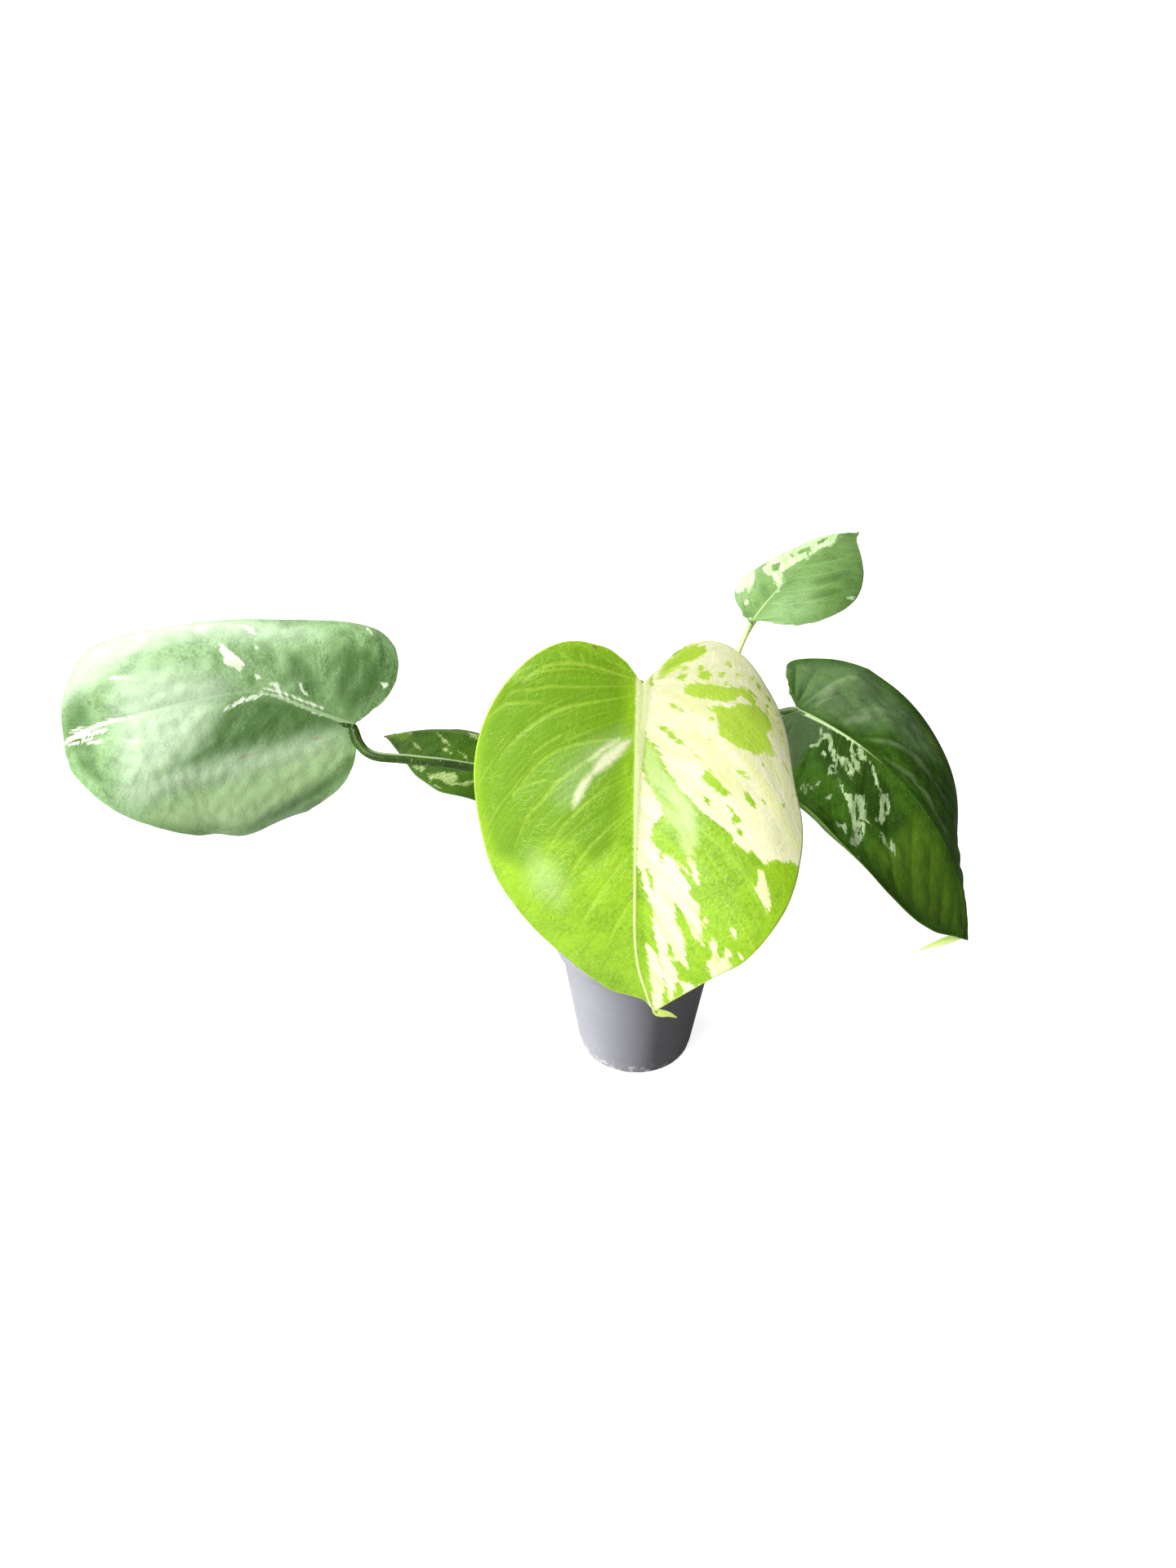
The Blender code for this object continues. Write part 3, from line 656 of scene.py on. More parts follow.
def on_blade(leaf, spots, pixels, grid):
    """Places on the flat blade that the camera shows at these pixels. The nearest point of the blade's grid
    is the first guess, and a few steps along the blade's own slopes mend it."""
    target = np.array(pixels, float)
    places = []
    seen, far = spots
    for pixel in target:
        miss = np.linalg.norm(seen - pixel, axis=1)
        close = miss < miss.min() + LOOK_CLOSE
        nearest = np.where(close)[0][np.argmin(far[close])]
        places.append([grid[0][nearest], grid[1][nearest]])
    places = np.array(places)
    for _ in range(LOOK_STEPS):
        here, slopes = slopes_at(leaf, places)
        steady = np.abs(np.linalg.det(slopes)) > LOOK_SIGHT
        step = np.zeros_like(places)
        step[steady] = np.linalg.solve(slopes[steady], (target - here)[steady][..., None])[..., 0]
        places += np.clip(step, -LOOK_STRIDE, LOOK_STRIDE)
    return places


def nearest_on_line(points, line):
    """Distance from a line of places, and the share of its length where it is nearest."""
    start, edge = line[:-1], np.diff(line, axis=0)
    away = points[:, None] - start
    share = np.clip((away * edge).sum(-1) / np.maximum((edge**2).sum(-1), TINY), 0, 1)
    gap = np.linalg.norm(away - share[..., None] * edge, axis=-1)
    best = gap.argmin(1)
    where = (best + share[np.arange(len(points)), best]) / len(edge)
    return gap.min(1), where


def depth_in_area(points, corners):
    """Distance from a closed outline, positive inside it."""
    loop = np.vstack([corners, corners[:1]])
    gap, _ = nearest_on_line(points, loop)
    (x0, y0), (x1, y1) = loop[:-1].T, loop[1:].T
    x, y = points[:, :1], points[:, 1:]
    spans = (y0 > y) != (y1 > y)
    crossing = x0 + (y - y0) * (x1 - x0) / np.where(y1 == y0, TINY, y1 - y0)
    inside = (spans & (x < crossing)).sum(1) % 2 == 1
    return np.where(inside, gap, -gap)


def depth_in_streak(points, line, width):
    """The same for a streak: a line with a width that tapers to its ends."""
    gap, where = nearest_on_line(points, line)
    return width / 2 * (1 - np.abs(2 * where - 1) ** STREAK_TAPER) - gap


def paint_marks(leaf, marks, spots, grid):
    """A field over a blade for each kind of skin, in millimetres inside (positive) or outside it."""
    points = np.stack(grid, -1)
    fields = {name: np.full(len(points), FAR_OUTSIDE) for name in SKIN_KINDS}
    for kind, width, pixels in marks:
        shape = on_blade(leaf, spots, pixels, grid)
        depth = depth_in_streak(points, shape, width * PIXEL) if width else depth_in_area(points, shape)
        if kind == "green":
            fields["cream"] = np.minimum(fields["cream"], -depth)
            fields["pale"] = np.minimum(fields["pale"], -depth)
        else:
            fields[kind] = np.maximum(fields[kind], depth)
    return fields


# %% [markdown]
# ## True margins
#
# No two leaves have quite the same heart. Where the photograph shows a blade's margin plainly, points read
# along it from the notch to the tip, once for each side, pull the outline until it passes them, and the pull
# fades before the first point. A margin that is seen slantwise is pulled less, because there a pixel stands
# for many millimetres. The bent surface itself stays as it is, so a blade still lies on its solid.

# %% Margins read from the photograph
TRIM_SHARES = np.linspace(0, 1, 121)
TRIM_MOST = 15.0  # the furthest that a margin moves
TRIM_CAP_POWER = 4  # how hard the pull stops there
TRIM_FADE = 0.25  # share of the outline over which a pull fades in
TRIM_BLUR = 9  # samples over which neighbouring pulls are evened out
TRIM_SIGHT = 0.7  # pixels to the millimetre at which a slanting margin is pulled by half
TRIM_GRID = (60, 80)
TRIM_PASSES = 3
MARGINS = {  # the left side and the right side, each from the notch to the tip
    "front": (
        [(817, 809), (830, 796), (846, 788), (862, 784), (882, 786), (902, 796), (921, 814),
         (937, 838), (952, 864), (962, 890), (967, 913), (969, 936), (972, 958), (980, 988), (984, 1014),
         (982, 1040), (978, 1069), (970, 1098), (957, 1124), (941, 1147), (921, 1170), (898, 1187),
         (872, 1197), (853, 1210), (833, 1219), (814, 1231), (802, 1239)],
        [(768, 812), (755, 799), (742, 793), (723, 787), (701, 784), (680, 788), (658, 799),
         (638, 814), (619, 835), (602, 861), (591, 887), (583, 913), (580, 942), (581, 971), (586, 1004),
         (593, 1036), (604, 1069), (622, 1098), (645, 1128), (667, 1150), (690, 1170), (713, 1189),
         (736, 1206), (758, 1217), (781, 1220), (793, 1227), (802, 1239)]),
    "left": (
        [(437, 908), (436, 924), (430, 945), (417, 965), (395, 982), (371, 996), (340, 1009), (309, 1017),
         (279, 1022), (254, 1024), (230, 1022), (205, 1017), (178, 1009), (153, 1000), (129, 986),
         (107, 967), (92, 951), (83, 936), (80, 925)],
        [(453, 869), (469, 859), (481, 844), (488, 823), (487, 801), (478, 783), (466, 769), (450, 763),
         (407, 764), (346, 764), (285, 766), (224, 767), (187, 769), (162, 777), (141, 789), (117, 800),
         (95, 815), (82, 835), (76, 855), (74, 870), (75, 885), (78, 905), (80, 925)]),
    "right": (
        [(968, 844), (963, 831), (962, 820), (966, 809), (976, 805), (990, 805), (1011, 805), (1035, 807),
         (1054, 816), (1075, 828), (1097, 843), (1116, 860), (1132, 882), (1148, 906), (1161, 933),
         (1172, 957), (1177, 978), (1174, 1000), (1173, 1024), (1176, 1050), (1178, 1080), (1180, 1105),
         (1181, 1122), (1183, 1138), (1186, 1149)],
        [(1014, 1013), (1032, 1034), (1054, 1056), (1075, 1079), (1097, 1103),
         (1118, 1124), (1140, 1139), (1157, 1145), (1170, 1145), (1179, 1147), (1186, 1149)]),
    "back": (
        [(920, 759), (912, 750), (905, 742), (900, 735), (898, 726), (904, 713), (924, 697), (952, 681),
         (971, 672), (990, 663), (1003, 657), (1015, 653), (1030, 652), (1044, 652), (1053, 651)],
        [(927, 757), (940, 761), (952, 764), (970, 765), (990, 764), (1010, 758), (1027, 750), (1041, 742),
         (1053, 727), (1058, 706), (1056, 686), (1051, 668), (1049, 659), (1053, 651)]),
    "small": (
        [(564, 977), (555, 974), (543, 971), (532, 966), (523, 959), (513, 953), (505, 946), (498, 935),
         (488, 922), (479, 910), (473, 903), (471, 899)],
        [(540, 893), (520, 894), (504, 893), (486, 895), (475, 896), (471, 899)]),
}


def yet_to_go(edge, wanted):
    """How far an outline's samples are from the places read from the photograph, with a pull that fades in
    before the first of them."""
    first = np.linalg.norm(edge[:-2] - wanted[0], axis=1).argmin()
    at = marks_along(edge[first:])
    passed = [np.interp(at, marks_along(wanted), wanted[:, k]) for k in (0, 1)]
    trim = np.zeros_like(edge)
    trim[first:] = np.stack(passed, -1) - edge[first:]
    start = TRIM_SHARES[first]
    trim[:first] = trim[first] * rise(TRIM_SHARES[:first, None], max(0, start - TRIM_FADE), start)
    return trim


def as_far_as_seen(leaf, edge, trim):
    """The part of a pull that the camera sees well."""
    _, sights, turns = np.linalg.svd(slopes_at(leaf, edge)[1])
    kept = sights**2 / (sights**2 + TRIM_SIGHT**2)
    return np.einsum("nki,nk,nkj,nj->ni", turns, kept, turns, trim)


def still_to_trim(leaf, runs):
    """How far each side's outline has yet to move, as (across, along) at TRIM_SHARES, to pass its run."""
    grid, spots = samples(leaf, 0, *TRIM_GRID)
    soft = np.ones(TRIM_BLUR) / TRIM_BLUR
    trims = []
    for side, run in enumerate(runs):
        out, along = outline(leaf, TRIM_SHARES, np.full(len(TRIM_SHARES), side))
        edge = np.stack([out if side else -out, along], -1)
        trim = yet_to_go(edge, on_blade(leaf, spots, run, grid))
        trim = as_far_as_seen(leaf, edge, trim)
        padded = np.pad(trim, ((TRIM_BLUR // 2, TRIM_BLUR // 2), (0, 0)), mode="edge")
        trims.append(np.stack([np.convolve(padded[:, k], soft, "valid") for k in (0, 1)], -1))
    return trims


def capped(trim):
    """A pull that levels off towards the most that a margin moves."""
    length = np.linalg.norm(trim, axis=1, keepdims=True)
    return trim / (1 + (length / TRIM_MOST) ** TRIM_CAP_POWER) ** (1 / TRIM_CAP_POWER)


for leaf_name, leaf in LEAVES.items():
    leaf_trims = [0, 0]
    for _ in range(TRIM_PASSES):
        more = still_to_trim(leaf, MARGINS[leaf_name])
        leaf_trims = [capped(old + new) for old, new in zip(leaf_trims, more)]
        leaf["trim"] = leaf_trims
    print(leaf_name, "margin moves up to",
          *(round(float(np.linalg.norm(trim, axis=1).max()), 1) for trim in leaf["trim"]), "mm")

# %% [markdown]
# ## The markings of each leaf
#
# Each row is a kind of skin, a streak's width in pixels of the photograph (0 for an area) and the pixels
# that its line or outline passes. Later rows lie over earlier ones, so a green island is cut from the cream
# under it. The front leaf is half cream; the others carry flecks, a torn web of gray and a cream-edged lobe.
# Pale skin is half green, and a scar is dry and brown. Veins that stand out are drawn one by one.
# Four kinds are painted light and shade: painted highlights along creases, which also rise as low
# ridges; a whitish painted sheen, which also makes the skin rougher; painted shade, where a blade is
# painted darker; and painted light, a lighter green where a blade is lit or shone through.

# %% Markings read from the photograph
AREA = 0
MARKS = {}
MARKS["front"] = [
    ("cream", AREA, [(780, 836), (792, 838), (800, 842), (799, 812), (812, 792), (830, 778), (862, 768),
        (906, 780), (942, 824), (970, 868), (984, 940), (998, 1010), (996, 1064), (979, 1061), (969, 1056),
        (956, 1053), (944, 1053), (942, 1060), (936, 1055), (928, 1048), (913, 1040), (899, 1030),
        (896, 1022), (883, 1012), (868, 1000), (856, 991), (844, 977), (833, 966), (817, 943), (809, 921),
        (791, 900), (779, 880)]),
    ("pale", AREA, [(790, 903), (805, 922), (815, 944), (832, 967), (844, 980), (852, 1002), (853, 1030),
        (846, 1052), (838, 1045), (830, 1020), (820, 1005), (811, 994), (803, 980), (792, 961), (786, 935)]),
    ("green", AREA, [(805, 833), (807, 824), (812, 816), (820, 806), (828, 798), (839, 792), (850, 789),
        (866, 792), (867, 797), (860, 805), (848, 809), (840, 811), (831, 817), (820, 824), (812, 830)]),
    ("green", AREA, [(838, 840), (847, 836), (860, 836), (876, 838), (892, 838), (907, 841), (920, 847),
        (928, 854), (929, 860), (923, 862), (915, 857), (906, 851), (901, 856), (895, 860), (879, 858),
        (868, 857), (856, 856), (845, 852), (840, 849)]),
    ("green", AREA, [(872, 864), (882, 864), (890, 867), (895, 866), (904, 862), (917, 862), (928, 865),
        (938, 872), (946, 883), (946, 891), (941, 897), (939, 902), (944, 908), (946, 918), (954, 927),
        (946, 926), (939, 921), (928, 925), (919, 924), (906, 916), (895, 908), (882, 902), (879, 889),
        (876, 878)]),
    ("green", AREA, [(863, 941), (869, 942), (877, 950), (885, 961), (895, 973), (891, 976), (885, 977),
        (874, 967), (866, 958), (861, 951)]),
    ("green", 5, [(833, 819), (844, 817)]), ("green", 6, [(828, 830), (842, 826)]),
    ("green", 5, [(855, 820), (863, 817)]), ("green", 9, [(856, 829), (871, 826)]),
    ("green", 4, [(879, 829), (888, 825)]), ("green", 4, [(866, 868), (874, 873)]),
    ("green", 4, [(868, 879), (874, 883)]), ("green", 5, [(817, 860), (828, 866), (840, 875)]),
    ("green", 5, [(806, 888), (822, 900), (840, 914)]), ("green", 1.5, [(838, 912), (863, 934)]),
    ("green", 4, [(864, 906), (872, 908)]), ("green", 4, [(903, 940), (919, 953)]),
    ("green", 5, [(910, 967), (918, 977), (925, 989)]), ("green", 3, [(932, 935), (935, 938)]),
    ("green", 3, [(950, 926), (953, 929)]), ("green", 3, [(938, 863), (943, 866)]),
    ("green", 4, [(948, 874), (953, 877)]), ("green", 4, [(943, 899), (950, 902)]),
    ("green", 3, [(954, 895), (960, 898)]), ("green", 3.5, [(926, 836), (934, 846)]),
    ("green", 3, [(936, 852), (944, 858)]), ("green", 2.5, [(918, 828), (924, 832)]),
    ("green", 3, [(951, 884), (957, 888)]), ("green", 3, [(962, 918), (966, 930)]),
    ("green", 3, [(955, 905), (961, 912)]), ("green", 2.5, [(886, 812), (896, 816)]),
    ("green", 2.5, [(900, 826), (910, 828)]), ("green", 3, [(933, 980), (938, 984)]),
    ("green", 3, [(957, 985), (962, 988)]), ("green", 3, [(972, 972), (977, 976)]),
    ("green", 1.5, [(954, 927), (965, 945)]), ("green", 3, [(861, 973), (869, 988)]),
    ("green", 3, [(890, 983), (899, 995), (907, 1007)]), ("green", 8, [(896, 1000), (908, 1005)]),
    ("green", 3, [(904, 1015), (911, 1023)]), ("green", 3, [(946, 1026), (959, 1043)]),
    ("green", 6, [(801, 966), (815, 981), (833, 999)]),
    ("cream", AREA, [(780, 925), (785, 940), (793, 961), (804, 980), (812, 994), (806, 1004), (797, 1012),
        (797, 1030), (806, 1042), (811, 1058), (813, 1046), (823, 1050), (831, 1058), (836, 1071),
        (843, 1083), (846, 1098), (855, 1106), (857, 1114), (855, 1123), (858, 1139), (861, 1157),
        (851, 1149), (845, 1136), (836, 1119), (828, 1106), (826, 1123), (833, 1139), (837, 1153),
        (838, 1166), (844, 1186), (831, 1176), (826, 1174), (819, 1152), (816, 1166), (825, 1186),
        (829, 1192), (828, 1204), (822, 1227), (815, 1204), (810, 1180), (802, 1149), (800, 1116),
        (795, 1103), (788, 1083), (779, 1056), (779, 1000)]),
    ("green", 4, [(790, 1056), (796, 1078), (803, 1101)]),
    ("cream", AREA, [(792, 1154), (802, 1166), (811, 1186), (814, 1204), (811, 1221), (813, 1235),
        (803, 1239), (799, 1221), (796, 1199), (794, 1174)]),
    ("cream", AREA, [(929, 1064), (936, 1066), (937, 1080), (942, 1098), (943, 1106), (940, 1119),
        (936, 1109), (929, 1099), (926, 1089), (928, 1075)]),
    ("cream", 4, [(843, 1045), (849, 1063), (854, 1080)]), ("cream", 4, [(836, 1056), (842, 1071)]),
    ("cream", 3, [(863, 1124), (866, 1131)]), ("cream", 2.5, [(894, 1134), (898, 1141), (900, 1150)]),
    ("cream", AREA, [(873, 1149), (878, 1152), (879, 1162), (876, 1168), (881, 1176), (885, 1172),
        (888, 1164), (893, 1166), (893, 1178), (899, 1183), (890, 1190), (882, 1199), (874, 1200),
        (869, 1190), (864, 1180), (870, 1176), (873, 1166), (871, 1157)]),
    ("cream", 3, [(905, 1166), (910, 1173)]),
    ("cream", 9, [(902, 1187), (878, 1202), (858, 1214), (840, 1224), (814, 1240)]),
    ("cream", AREA, [(833, 1200), (839, 1204), (846, 1203), (851, 1210), (843, 1218), (836, 1220),
        (835, 1210)]),
    ("vein", 3, [(782, 833), (758, 826), (736, 819), (718, 814), (700, 812), (680, 812), (664, 817),
        (650, 825), (638, 836)]),
    ("vein", 2, [(702, 811), (690, 803), (680, 793)]), ("vein", 2, [(715, 812), (709, 797)]),
    ("vein", 2.4, [(780, 840), (720, 841), (672, 840), (648, 845), (630, 845), (612, 842)]),
    ("vein", 3.2, [(780, 849), (752, 856), (724, 860), (704, 864), (688, 868), (668, 877), (652, 888),
        (637, 899), (626, 910), (614, 924), (605, 940)]),
    ("vein", 2.6, [(690, 868), (676, 863), (656, 860), (636, 860), (618, 862), (610, 868), (600, 876),
        (590, 890)]),
    ("vein", 2, [(618, 863), (620, 852), (630, 845), (644, 844), (646, 860)]),
    ("vein", 3, [(776, 899), (752, 905), (724, 908), (704, 912), (684, 918), (668, 928), (654, 940),
        (642, 956), (630, 972), (618, 988)]),
    ("vein", 2, [(700, 896), (684, 901), (670, 909), (655, 921), (642, 931)]),
    ("vein", 3.2, [(774, 903), (746, 913), (728, 924), (712, 935), (698, 946), (682, 957), (672, 970),
        (660, 984), (648, 996), (640, 1012), (634, 1028), (627, 1048)]),
    ("vein", 2.4, [(682, 957), (664, 955), (640, 962), (624, 972)]),
    ("vein", 2.6, [(776, 948), (740, 966), (716, 984), (698, 1002), (684, 1018), (672, 1040), (660, 1066)]),
    ("vein", 2.4, [(776, 990), (748, 1010), (724, 1034), (706, 1058), (692, 1084), (680, 1112)]),
    ("vein", 2, [(777, 1040), (756, 1062), (738, 1086), (722, 1114), (708, 1142)]),
    ("vein", 2, [(778, 1094), (764, 1116), (750, 1142), (738, 1170)]),
    ("vein", 2.4, [(788, 850), (820, 850), (856, 860), (892, 884), (922, 914), (946, 950), (964, 990)]),
    ("vein", 2, [(784, 905), (812, 916), (846, 940), (880, 975), (910, 1016), (936, 1062)]),
    ("vein", 2, [(784, 960), (816, 986), (850, 1024), (880, 1066), (906, 1112)]),
    ("vein", 2, [(784, 1030), (812, 1058), (840, 1098), (862, 1140)]),
    # painted highlights, painted shade, painted light and a whitish painted sheen, and one scar
    ("painted_highlight", 9, [(772, 906), (754, 921), (738, 935), (724, 949)]),
    ("painted_highlight", 5, [(728, 944), (715, 960), (708, 974), (703, 988)]),
    ("painted_highlight", 2, [(758, 906), (740, 916), (724, 929)]), ("painted_highlight", 3, [(866, 792), (875, 800), (883, 812)]),
    ("shade", AREA, [(766, 836), (754, 802), (724, 790), (685, 787), (650, 803), (617, 838), (594, 888),
        (586, 944), (592, 1000), (608, 1046), (640, 1060), (668, 1030), (700, 1030), (728, 1060),
        (750, 1040), (762, 980), (764, 900)]),
    ("painted_light", AREA, [(800, 812), (850, 786), (915, 820), (955, 900), (972, 950), (930, 965), (880, 960),
        (840, 920), (800, 880)]),
    ("painted_sheen", 20, [(655, 1050), (668, 1078), (682, 1100)]),
    ("painted_sheen", 9, [(758, 905), (726, 926), (706, 948), (692, 974)]),
    ("painted_sheen", 14, [(812, 960), (832, 985), (846, 1010)]), ("scar", 2, [(727, 789), (729, 794), (728, 800)]),
]
MARKS["left"] = [
    ("cream", AREA, [(269, 789), (275, 792), (284, 799), (293, 806), (297, 814), (293, 824), (286, 817),
        (276, 812), (275, 803), (271, 796)]),
    ("cream", 5, [(76, 913), (88, 905), (100, 898), (115, 893)]),
    ("cream", 3, [(98, 898), (118, 889), (141, 882), (160, 878)]),
    ("cream", 3.5, [(90, 904), (110, 899), (134, 893)]), ("cream", 2, [(84, 914), (100, 908), (118, 903)]),
    ("cream", 1.5, [(86, 897), (96, 892), (104, 891)]), ("cream", 4, [(290, 766), (304, 769), (313, 778)]),
    ("cream", 2.5, [(312, 788), (316, 797)]), ("cream", 2.5, [(313, 825), (316, 832)]),
    ("cream", 3, [(329, 838), (338, 837), (340, 845), (356, 853)]),
    ("cream", 2.5, [(366, 836), (370, 846), (378, 853)]), ("cream", 3, [(448, 768), (454, 778)]),
    ("cream", 3, [(467, 836), (471, 840), (475, 836)]), ("cream", 2, [(134, 831), (162, 829)]),
    ("cream", 1.5, [(113, 820), (119, 822)]), ("cream", 2, [(154, 908), (170, 907)]),
    ("cream", 2, [(106, 910), (128, 908)]),
    ("cream", 2.2, [(414, 880), (394, 875), (366, 863), (341, 853), (316, 847)]),
    ("cream", 1.6, [(396, 868), (366, 856), (341, 847), (322, 843)]),
    ("cream", 3, [(324, 851), (307, 854), (290, 861), (272, 871)]), ("scar", 2.4, [(380, 906), (401, 903)]),
    ("scar", 3, [(289, 931), (307, 924), (324, 918)]), ("scar", 2.4, [(216, 958), (234, 951)]),
    ("vein", 2.4, [(304, 846), (290, 849), (240, 858), (195, 869), (167, 877), (141, 883), (112, 893)]),
    # painted shade, a whitish painted sheen and painted light
    ("shade", AREA, [(423, 887), (400, 873), (373, 864), (336, 855), (308, 855), (276, 863), (258, 883),
        (244, 910), (221, 938), (235, 942), (290, 926), (336, 912), (382, 899)]),
    ("shade", AREA, [(419, 791), (451, 795), (474, 818), (479, 841), (460, 855), (437, 869), (428, 878),
        (414, 850), (410, 818)]),
    ("shade", AREA, [(440, 925), (425, 945), (395, 970), (360, 990), (330, 1002), (300, 1010), (340, 985),
        (385, 955), (420, 925)]),
    ("shade", 16, [(352, 800), (372, 835), (388, 860)]),
    ("shade", 26, [(104, 836), (92, 862), (94, 890), (106, 930), (128, 962)]),
    ("painted_sheen", AREA, [(143, 832), (198, 823), (272, 839), (258, 878), (235, 915), (198, 942), (157, 961),
        (147, 924)]),
    ("painted_sheen", AREA, [(152, 965), (244, 942), (336, 919), (410, 899), (382, 920), (290, 948), (198, 972),
        (161, 984)]),
    ("painted_sheen", 30, [(70, 868), (96, 830), (130, 800), (176, 778), (240, 768), (320, 772), (390, 776)]),
    ("shade", 18, [(96, 822), (128, 802), (165, 786), (205, 778), (260, 775), (340, 773)]),
    ("painted_light", AREA, [(180, 1000), (230, 975), (300, 955), (372, 925), (420, 905), (428, 915), (410, 945),
        (350, 985), (290, 1012), (230, 1015)]),
]
MARKS["right"] = [
    ("cream", AREA, [(1050, 918), (1054, 914), (1058, 922), (1061, 931), (1055, 930), (1050, 926)]),
    ("cream", 5, [(1004, 891), (1008, 899), (1017, 903), (1018, 915), (1021, 926), (1024, 936),
        (1024, 947)]),
    ("cream", AREA, [(1014, 941), (1020, 934), (1026, 940), (1025, 948), (1015, 949)]),
    ("cream", 4, [(1017, 902), (1007, 904), (1001, 911), (993, 913), (985, 917)]),
    ("cream", 4, [(1008, 920), (1009, 927)]),
    ("cream", 2.5, [(1016, 892), (1030, 898), (1040, 905), (1050, 911), (1057, 917)]),
    ("cream", 2, [(1041, 912), (1044, 920), (1049, 927)]),
    ("cream", 3.5, [(1024, 923), (1030, 930), (1036, 941), (1042, 956)]),
    ("cream", 5, [(1035, 926), (1041, 938), (1044, 951)]),
    ("cream", 5, [(1042, 923), (1048, 935), (1053, 949)]), ("cream", 4, [(1030, 925), (1034, 936)]),
    ("cream", 1.6, [(1025, 946), (1028, 958), (1034, 977)]),
    ("cream", AREA, [(1034, 974), (1042, 975), (1045, 984), (1049, 996), (1050, 1006), (1044, 1003),
        (1038, 985)]),
    ("cream", AREA, [(1046, 976), (1056, 974), (1058, 984), (1061, 995), (1060, 1003), (1054, 1004),
        (1050, 992)]),
    ("cream", 2.5, [(1058, 1000), (1063, 1006), (1068, 1012)]),
    ("cream", AREA, [(1044, 1004), (1052, 1003), (1059, 1007), (1060, 1016), (1057, 1025), (1049, 1038),
        (1041, 1032), (1044, 1019)]),
    ("cream", 2.6, [(1066, 933), (1071, 950), (1079, 975)]),
    ("cream", AREA, [(1077, 973), (1086, 972), (1091, 986), (1088, 998), (1080, 1008), (1075, 1004),
        (1078, 990)]),
    ("cream", 4, [(1078, 1017), (1083, 1037)]), ("cream", 2.5, [(1086, 1033), (1087, 1040)]),
    ("cream", 2.5, [(1091, 1029), (1094, 1047)]), ("cream", 4, [(1025, 1005), (1029, 1014)]),
    ("cream", 3.5, [(1034, 1007), (1036, 1021)]), ("cream", 4, [(983, 960), (986, 973)]),
    ("cream", 2.5, [(989, 961), (996, 969)]), ("cream", 3, [(1004, 958), (997, 966)]),
    ("cream", 2.5, [(1017, 974), (1012, 981)]), ("cream", 3, [(1052, 1047), (1056, 1057)]),
    ("green", 2.5, [(1018, 939), (1021, 945)]), ("green", 2, [(1049, 981), (1052, 999)]),
    ("green", 3, [(1048, 1012), (1047, 1026)]), ("green", 2.5, [(1055, 1010), (1053, 1022)]),
    ("green", 3, [(1083, 979), (1083, 999)]),
    ("pale", AREA, [(955, 862), (977, 870), (997, 878), (1017, 891), (1018, 902), (1007, 906), (988, 918),
        (981, 932), (976, 942), (962, 938), (950, 915)]),
    # painted shade, painted highlights, a whitish painted sheen and painted light
    ("shade", 7, [(958, 884), (968, 898), (974, 916)]), ("shade", 5, [(978, 876), (990, 884), (1000, 898)]),
    ("painted_highlight", 12, [(1000, 866), (1014, 846), (1036, 832), (1050, 830)]),
    ("painted_highlight", 12, [(1034, 888), (1048, 880), (1070, 872), (1092, 874)]),
    ("painted_highlight", 10, [(1060, 904), (1090, 910), (1120, 928), (1146, 958), (1164, 996)]),
    ("painted_highlight", 6, [(1086, 930), (1116, 952), (1144, 992), (1164, 1036)]),
    ("painted_sheen", AREA, [(972, 818), (1000, 812), (1040, 816), (1084, 842), (1120, 880), (1148, 930),
        (1120, 920), (1090, 894), (1050, 890), (1010, 876), (984, 862)]),
    ("shade", AREA, [(1000, 880), (1030, 890), (1060, 920), (1090, 965), (1110, 1010), (1090, 1030),
        (1060, 1000), (1030, 960), (1000, 930)]),
    ("painted_light", AREA, [(1066, 1040), (1100, 1030), (1126, 1000), (1150, 1040), (1168, 1100), (1176, 1140),
        (1140, 1130), (1100, 1092)]),
    ("painted_light", 22, [(1120, 880), (1146, 915), (1166, 960)]),
    ("painted_light", 12, [(1166, 960), (1173, 990), (1171, 1030), (1176, 1090), (1181, 1130)]),
]
